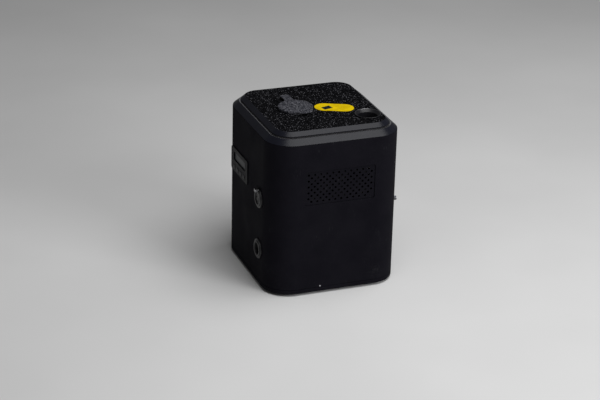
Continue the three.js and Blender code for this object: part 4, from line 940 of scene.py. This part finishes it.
def front_grille():
    loops = [rounded_box(GRILLE_WIDTH, GRILLE_HEIGHT, GRILLE_CORNER)]
    for row in range(GRILLE_ROWS):
        count = GRILLE_ROW_HOLES - (1 if row == GRILLE_ROWS - 1 else 0)
        shift = (row % 2 - 0.5) / 2 - (GRILLE_ROW_HOLES - 1) / 2
        y = ((GRILLE_ROWS - 1) / 2 - row) * GRILLE_ROW_PITCH
        for i in range(count):
            loops.append(ring(GRILLE_HOLE, (i + shift) * GRILLE_PITCH, y, 20))
    wall = -DEPTH / 2
    plate = slab("grille", loops, wall - grille_high.y, wall - grille_low.y)
    round_edges(plate, FINE_EDGE)
    to_wall(plate, "front", *wall_spot("front", "front_grille"))
    place(plate, paint, "black_paint", ["front_grille"])


# Sockets on the side walls

FLANGE_RADIUS = 14.5
FLANGE_THICKNESS = 2
RING_RISE = 1.4
SOCKET_DEPTH = 14
SOCKET_FACE = GAP + FLANGE_THICKNESS
SOCKET_RIM = SOCKET_FACE + RING_RISE
# What both kinds of socket look like from outside, from the back end to the rim
SOCKET_OUTSIDE = [(SOCKET_RADIUS, -SOCKET_DEPTH), (SOCKET_RADIUS, GAP), (FLANGE_RADIUS, GAP),
                  (FLANGE_RADIUS, SOCKET_FACE), (SOCKET_RADIUS, SOCKET_FACE),
                  (SOCKET_RADIUS, SOCKET_RIM)]
DATA_BORE = 8.6
BORE_CHAMFER = 0.9
LATCH = (7, 4)
LATCH_BOTTOM = 10.4
LATCH_CORNER = 0.6
LATCH_BED = 0.4
INSERT_SINK = 1.5
INLET_FLOOR = 3
PIN_CIRCLE = 5
PIN_HOLE = 1.5
PIN_RADIUS = 1.2
PIN_TIP = 0.5
PIN_END = -1.5


def data_shell(name, node, latch=False):
    level, height = wall_spot("left", node)
    profile = [(DATA_BORE, -SOCKET_DEPTH)] + SOCKET_OUTSIDE
    profile += [(DATA_BORE + BORE_CHAMFER, SOCKET_RIM), (DATA_BORE, SOCKET_RIM - BORE_CHAMFER)]
    flange = lathe(name, profile, edge=TURNED_EDGE)
    if latch:
        side = LATCH[0] / 2 + GAP
        carve(flange, block_tool((-side, LATCH_BOTTOM - GAP, GAP + LATCH_BED),
                                 (side, LATCH_BOTTOM + LATCH[1] + GAP, SOCKET_FACE + OVERRUN)))
    place(to_wall(flange, "left", level, height), socket_metal, "socket_metal", [node])
    return level, height


def pin_places():
    return [polar(PIN_CIRCLE, turns * math.pi) for turns in (1, 1.5, 2)]


def data_sockets():
    level, height = data_shell("data_outlet", "data_out_shell", latch=True)
    loops = [ring(DATA_BORE - GAP, steps=64)]
    loops += [ring(PIN_HOLE, x, y, 24) for x, y in pin_places()]
    insert = slab("data_outlet_insert", loops, -SOCKET_DEPTH, SOCKET_RIM - INSERT_SINK)
    round_edges(insert, FINE_EDGE)
    to_wall(insert, "left", level, height)
    place(insert, insert_plastic, "insert_plastic", ["data_out_insert"])
    low, high = span("data_out_latch")
    outline = rounded_box(*LATCH, LATCH_CORNER, 0, LATCH_BOTTOM + LATCH[1] / 2)
    lever = slab("data_outlet_latch", [outline], -WIDTH / 2 - high.x, -WIDTH / 2 - low.x)
    round_edges(lever, EDGE, segments=3)
    to_wall(lever, "left", level, height)
    place(lever, pin_metal, "latch_nickel", ["data_out_latch"], body="data_latch")
    level, height = data_shell("data_inlet", "data_in_shell")
    top = -SOCKET_DEPTH + INLET_FLOOR
    profile = [(0, -SOCKET_DEPTH), (DATA_BORE - GAP, -SOCKET_DEPTH), (DATA_BORE - GAP, top),
               (0, top)]
    floor = lathe("data_inlet_insert", profile, 64, edge=SMALL_EDGE)
    to_wall(floor, "left", level, height)
    place(floor, insert_plastic, "insert_plastic", ["data_in_insert"])
    for i, (x, y) in enumerate(pin_places()):
        profile = [(0, top - 1), (PIN_RADIUS, top - 1), (PIN_RADIUS, PIN_END - 0.5),
                   (PIN_TIP, PIN_END - 0.1), (0, PIN_END)]
        pin = lathe(f"data_inlet_pin_{i + 1}", profile, 24, x, y, SMALL_EDGE)
        place(to_wall(pin, "left", level, height), pin_metal, "latch_nickel")


POWER_BORE = 10.5
POWER_CORE = 5.4
CORE_DROP = 1
KEY_END = POWER_CORE + 1
POWER_FLOOR = 3
KEY_WIDTH = 2.4
KEY_TURNS = (math.pi / 2, math.pi, math.pi * 3 / 2)
POWER_STEPS = 72


def power_socket(name, node, material, slot):
    level, height = wall_spot("right", node)
    floor = -SOCKET_DEPTH + POWER_FLOOR
    profile = [(0, -SOCKET_DEPTH)] + SOCKET_OUTSIDE + [(0, SOCKET_RIM)]
    body = lathe(name, profile, POWER_STEPS, edge=TURNED_EDGE)
    above = SOCKET_RIM + OVERRUN
    bore = lathe("tool", [(POWER_CORE, floor), (POWER_BORE, floor), (POWER_BORE, above),
                          (POWER_CORE, above)], POWER_STEPS)
    sunk = SOCKET_RIM - CORE_DROP
    cap = lathe("tool", [(0, sunk), (KEY_END, sunk), (KEY_END, above), (0, above)], POWER_STEPS)
    keys = block_tool((POWER_CORE / 2, -KEY_WIDTH / 2, floor + POWER_FLOOR),
                      (KEY_END, KEY_WIDTH / 2, SOCKET_RIM), KEY_TURNS)
    carve(body, bore, cap, keys)
    round_edges(body, FINE_EDGE, angle=50)
    place(to_wall(body, "right", level, height), material, slot, [node])


# Menu panel

BEZEL = (72, 36)
BEZEL_THICKNESS = 1.2
BEZEL_CORNER = 4
PANE_CORNER = 0.6
PANE_THICKNESS = 1.2
WINDOW_LAP = 1
BUTTON_STEM = 2.6
BUTTON_COLLAR = 4.6
COLLAR_THICKNESS = 1
BUTTON_CROWN = 0.5
BUTTON_SHOULDER = 1
BUTTON_DISH = 0.25


def menu_panel():
    level, height = wall_spot("left", "menu_bezel")
    window_level, window_height = wall_spot("left", "menu_window")
    loops = [rounded_box(*BEZEL, BEZEL_CORNER, level, height, steps=8),
             rounded_box(WINDOW[0] - 2 * WINDOW_LAP, WINDOW[1] - 2 * WINDOW_LAP, HOLE_CORNER,
                         window_level, window_height)]
    spots = [wall_spot("left", f"menu_button_{i}") for i in range(1, BUTTON_COUNT + 1)]
    loops += [ring(BUTTON_RADIUS + GAP, x, y, 40) for x, y in spots]
    bezel = slab("menu_frame", loops, GAP, GAP + BEZEL_THICKNESS)
    round_edges(bezel, KEY_EDGE, segments=3)
    place(to_wall(bezel, "left"), bezel_plastic, "bezel_plastic", ["menu_bezel"])
    pane = rounded_box(*WINDOW, PANE_CORNER, window_level, window_height)
    glass = slab("menu_pane", [pane], -PANE_THICKNESS, 0)
    round_edges(glass, PANE_EDGE)
    place(to_wall(glass, "left"), menu_glass, "menu_glass", ["menu_window"])
    for i, (x, y) in enumerate(spots):
        node = f"menu_button_{i + 1}"
        low, high = span(node)
        top = -WIDTH / 2 - low.x
        bottom = -WIDTH / 2 - high.x
        collar = -WALL - GAP
        under = collar - COLLAR_THICKNESS
        profile = [(0, bottom), (BUTTON_STEM, bottom), (BUTTON_STEM, under),
                   (BUTTON_COLLAR, under), (BUTTON_COLLAR, collar), (BUTTON_RADIUS, collar),
                   (BUTTON_RADIUS, top - BUTTON_CROWN), (BUTTON_RADIUS - BUTTON_SHOULDER, top),
                   (0, top - BUTTON_DISH)]
        button = lathe(f"menu_key_{i + 1}", profile, 40, x, y, KEY_EDGE)
        place(to_wall(button, "left"), button_plastic, "button_plastic", [node], body=node)


# Switch, fuse and aerial socket

ROCKER = (10, 17)
ROCKER_TILT = math.radians(7)
ROCKER_PIVOT = 2
ROCKER_DEPTH = 5
SWITCH_BODY = (13, 20.8)
SWITCH_FLANGE = 1.5
SWITCH_RISE = 1.5
SWITCH_DEPTH = 12
SWITCH_FLOOR = 2
SWITCH_WALL = 1
SWITCH_LAP = 0.5
POCKET_CORNER = 0.8
ROCKER_RISE = 2.2
ROCKER_DIP = 1
MARK_SHARE = 0.62
MARK_SINK = 0.4
MARK_THICKNESS = 0.06
MARK_BAR = (0.9, 3.6, 0.3)
MARK_RING = (1.8, 1.1)


def power_switch():
    level, height = wall_spot("right", "switch_frame")
    top = GAP + SWITCH_RISE
    pocket = rounded_box(SWITCH_BODY[0] - 2 * SWITCH_WALL, SWITCH_BODY[1] - 2 * SWITCH_WALL,
                         POCKET_CORNER)
    flange = slab("switch_bezel", [rounded_box(SWITCH_BODY[0] + 2 * SWITCH_FLANGE,
                                               SWITCH_BODY[1] + 2 * SWITCH_FLANGE,
                                               SWITCH_FLANGE, steps=8), pocket], GAP, top)
    round_edges(flange, EDGE, segments=3)
    outside = rounded_box(*SWITCH_BODY, HOLE_CORNER)
    body = slab("tool", [outside, pocket], -SWITCH_DEPTH, GAP + SWITCH_LAP)
    floor = slab("tool", [outside], -SWITCH_DEPTH, -SWITCH_DEPTH + SWITCH_FLOOR)
    carve(flange, body, floor, operation="UNION")
    to_wall(flange, "right", level, height)
    place(flange, switch_plastic, "switch_plastic", ["switch_frame"])
    end = ROCKER[1] / 2
    face = top + ROCKER_RISE
    steps = 12
    dip = [(-end + ROCKER[1] * i / steps,
            face - ROCKER_DIP + ROCKER_DIP * (2 * i / steps - 1) ** 2)
           for i in range(steps, -1, -1)]
    outline = softened([(-end, -ROCKER_DEPTH), (end, -ROCKER_DEPTH)] + dip, TURNED_EDGE)
    rocker = slab("rocker", [outline], -ROCKER[0] / 2, ROCKER[0] / 2)
    round_edges(rocker, KEY_EDGE, segments=3, angle=60)
    upright = Matrix(((0, 0, 1), (1, 0, 0), (0, 1, 0))).to_4x4()
    rocker.data.transform(upright)
    there = Matrix.Translation((0, 0, ROCKER_PIVOT * MM))
    turn = there.inverted() @ Matrix.Rotation(ROCKER_TILT, 4, "X") @ there
    rocker.data.transform(turn)
    to_wall(rocker, "right", level, height)
    place(rocker, switch_plastic, "switch_plastic", ["switch_rocker"], body="switch_rocker")
    bed = face - MARK_SINK
    for name, loops, way in (("switch_mark_on", [rounded_box(*MARK_BAR)], 1),
                             ("switch_mark_off", [ring(radius) for radius in MARK_RING], -1)):
        mark = slab(name, loops, bed, bed + MARK_THICKNESS)
        mark.data.transform(Matrix.Translation((0, way * end * MARK_SHARE * MM, 0)))
        mark.data.transform(turn)
        to_wall(mark, "right", level, height)
        place(mark, mark_white, "switch_plastic", body="switch_rocker")


FUSE_FLANGE = 9
FUSE_FLANGE_THICKNESS = 2
FUSE_FLOOR = -12.3
FUSE_CAP = 5.4
KNOB_STAND = 0.8
KNOB_DROP = 0.4
FUSE_STEM = 5
STEM_CROWN = 0.6
STEM_SHOULDER = 0.5
FUSE_RIBS = 24
RIB_DEPTH = 0.25
COIN_SLOT = 1.2
# How far the fuse's cap and the aerial socket stand out of the wall
REACH = 7.3


def fuse():
    level, height = wall_spot("right", "fuse_holder")
    low, high = span("fuse_holder")
    top = GAP + FUSE_FLANGE_THICKNESS
    bottom = low.x - WIDTH / 2
    bore = FUSE_CAP + GAP
    profile = [(0, bottom), (FUSE_RADIUS, bottom), (FUSE_RADIUS, GAP), (FUSE_FLANGE, GAP),
               (FUSE_FLANGE, top), (bore, top), (bore, FUSE_FLOOR), (0, FUSE_FLOOR)]
    holder = lathe("fuse_seat", profile, 64, edge=TURNED_EDGE)
    place(to_wall(holder, "right", level, height), insert_plastic, "fuse_plastic", ["fuse_holder"])
    outline = []
    for i in range(FUSE_RIBS * 4):
        radius = FUSE_CAP if i % 4 < 2 else FUSE_CAP - RIB_DEPTH
        outline.append(polar(radius, math.pi * 2 * i / (FUSE_RIBS * 4)))
    cap = slab("fuse_knob", [outline], top + KNOB_STAND, REACH - KNOB_DROP)
    stem_end = FUSE_FLOOR + GAP
    profile = [(0, stem_end), (FUSE_STEM, stem_end), (FUSE_STEM, REACH - STEM_CROWN),
               (FUSE_STEM - STEM_SHOULDER, REACH), (0, REACH)]
    carve(cap, lathe("tool", profile, 64, edge=SMALL_EDGE), operation="UNION")
    carve(cap, block_tool((-FUSE_CAP - 1, -COIN_SLOT / 2, REACH - 1),
                          (FUSE_CAP + 1, COIN_SLOT / 2, REACH + 1)))
    to_wall(cap, "right", level, height)
    place(cap, insert_plastic, "fuse_plastic", ["fuse_cap"], body="fuse_cap")


NUT_RADIUS = 4.6
NUT_THICKNESS = 2
THREAD_PITCH = 0.7
THREAD_DEPTH = 0.22
THREAD_STOP = 0.5
NUT_FIT = 0.05
AERIAL_BACK = -9
AERIAL_BORE = 2
BORE_DEPTH = 5
CONTACT_RADIUS = 0.7
CONTACT_DROP = 2


def aerial():
    level, height = wall_spot("right", "aerial_socket")
    nut = slab("aerial_nut", [ring(NUT_RADIUS, steps=6), ring(AERIAL_RADIUS - NUT_FIT, steps=40)],
               GAP, GAP + NUT_THICKNESS)
    round_edges(nut, SMALL_EDGE)
    place(to_wall(nut, "right", level, height), aerial_nickel, "aerial_nickel")
    profile = [(0, AERIAL_BACK), (AERIAL_RADIUS, AERIAL_BACK)]
    depth = GAP + NUT_THICKNESS
    while depth < REACH - THREAD_STOP:
        profile.append((AERIAL_RADIUS, depth))
        profile.append((AERIAL_RADIUS - THREAD_DEPTH, depth + THREAD_PITCH / 2))
        depth += THREAD_PITCH
    profile += [(AERIAL_RADIUS - 0.2, REACH - 0.15), (AERIAL_RADIUS - 0.4, REACH),
                (AERIAL_BORE + 0.2, REACH), (AERIAL_BORE, REACH - 0.3),
                (AERIAL_BORE, REACH - BORE_DEPTH), (CONTACT_RADIUS, REACH - BORE_DEPTH),
                (CONTACT_RADIUS, REACH - CONTACT_DROP), (0, REACH - CONTACT_DROP)]
    stem = lathe("aerial_stem", profile, 48)
    place(to_wall(stem, "right", level, height), aerial_nickel, "aerial_nickel", ["aerial_socket"])


# Pieces seen through the outlet and the open port

BARREL_RADIUS = 16
HOPPER_NECK = 5
HOPPER_CONE_SHARE = 0.47
HOPPER_RADIUS = 29.5
HOPPER_WALL = 1.5
SPIGOT_BORE = 7


def inner_pieces():
    low, high = span("spark_tube")
    profile = [(THROAT, low.z), (BARREL_RADIUS, low.z), (BARREL_RADIUS, high.z),
               (THROAT, high.z)]
    barrel = lathe("spark_barrel", profile, x=nozzle.x, y=nozzle.y)
    place(barrel, screw_steel, "screw_steel", ["spark_tube"])
    low, high = span("hopper")
    neck_end = low.z + HOPPER_NECK
    cone_end = neck_end + (high.z - neck_end) * HOPPER_CONE_SHARE
    spigot = SPIGOT_BORE + HOPPER_WALL
    inside = HOPPER_RADIUS - HOPPER_WALL
    profile = [(SPIGOT_BORE, low.z), (spigot, low.z), (spigot, neck_end),
               (HOPPER_RADIUS, cone_end), (HOPPER_RADIUS, high.z), (inside, high.z),
               (inside, cone_end), (SPIGOT_BORE, neck_end)]
    granule_bin = lathe("granule_bin", profile, x=port.x, y=port.y, edge=RIM_EDGE)
    place(granule_bin, feed_metal, "feed_metal", ["hopper"])


CARRIED_OVER = (
    (fan_plastic, "fan_frame_left fan_frame_right fan_rotor_left fan_rotor_right "
                  "blower_housing blower_cover"),
    (impeller_plastic, "blower_impeller"),
    (duct_metal, "air_duct"),
    (supply_case, "power_supply"),
    (board, "control_board driver_board menu_board"),
    (chassis, "inner_deck feed_bracket deck_post_1 deck_post_2 deck_post_3 deck_post_4"),
    (feed_metal, "feed_barrel"),
    (screw_steel, "feed_screw"),
    (gear_plastic, "screw_gear"),
    (pinion_brass, "motor_pinion"),
    (motor_steel, "feed_motor"),
    (ceramic, "heater_jacket"),
    (copper, "heater_coil"),
)


def dress_frame():
    for material, names in CARRIED_OVER:
        for name in names.split():
            coat(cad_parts[name], material)


# Studio

FLOOR_DARK = (0.64, 0.64, 0.64)
FLOOR_LIGHT = (0.68, 0.68, 0.68)
FLOOR_MARKS = 400
FLOOR_REACH_METRES = 12
SKY_COLOR = (0.9, 0.9, 0.9)
SKY_STRENGTH = 0.13
# Name, place, aim, size in metres, and watts
LAMPS = (("overhead", (0.33, -0.47, 1.75), (0, 0, 0.2), (1.7, 1.2), 27),
         ("front", (1.15, -1.9, 1.1), (0, 0, 0.12), (1.0, 1.0), 24))


def lay_floor():
    finish = Finish("floor", FLOOR_DARK, 0.7)
    finish.mottled(FLOOR_MARKS, FLOOR_DARK, FLOOR_LIGHT, (0.6, 0.75))
    mesh = bpy.data.meshes.new("floor")
    reach = FLOOR_REACH_METRES
    mesh.from_pydata([(-reach, -reach, 0), (reach, -reach, 0), (reach, reach, 0),
                      (-reach, reach, 0)], [], [(0, 1, 2, 3)])
    mesh.materials.append(finish.material)
    ground = add_object("floor", mesh)


def studio():
    lay_floor()
    world = bpy.data.worlds.new("world")
    world.use_nodes = True
    sky = world.node_tree.nodes["Background"].inputs
    sky["Color"].default_value = (*SKY_COLOR, 1)
    sky["Strength"].default_value = SKY_STRENGTH
    scene.world = world
    for name, spot, aim, size, power in LAMPS:
        data = bpy.data.lights.new(name, "AREA")
        data.shape = "RECTANGLE"
        data.size, data.size_y = size
        data.energy = power
        lamp = add_object(name, data)
        lamp.location = spot
        lamp.rotation_euler = (Vector(aim) - Vector(spot)).to_track_quat("-Z", "Y").to_euler()
    scene.view_settings.view_transform = "Standard"


studio()
base_plate()
feet()
body_shell()
top_frame()
top_seal()
top_lid()
nozzle_rim()
feed_collar()
feed_cap()
capsule_plate()
front_grille()
data_sockets()
power_socket("power_inlet", "power_in_socket", blue_plastic, "power_in_plastic")
power_socket("power_outlet", "power_out_socket", grey_plastic, "power_out_plastic")
menu_panel()
power_switch()
fuse()
aerial()
inner_pieces()
dress_frame()
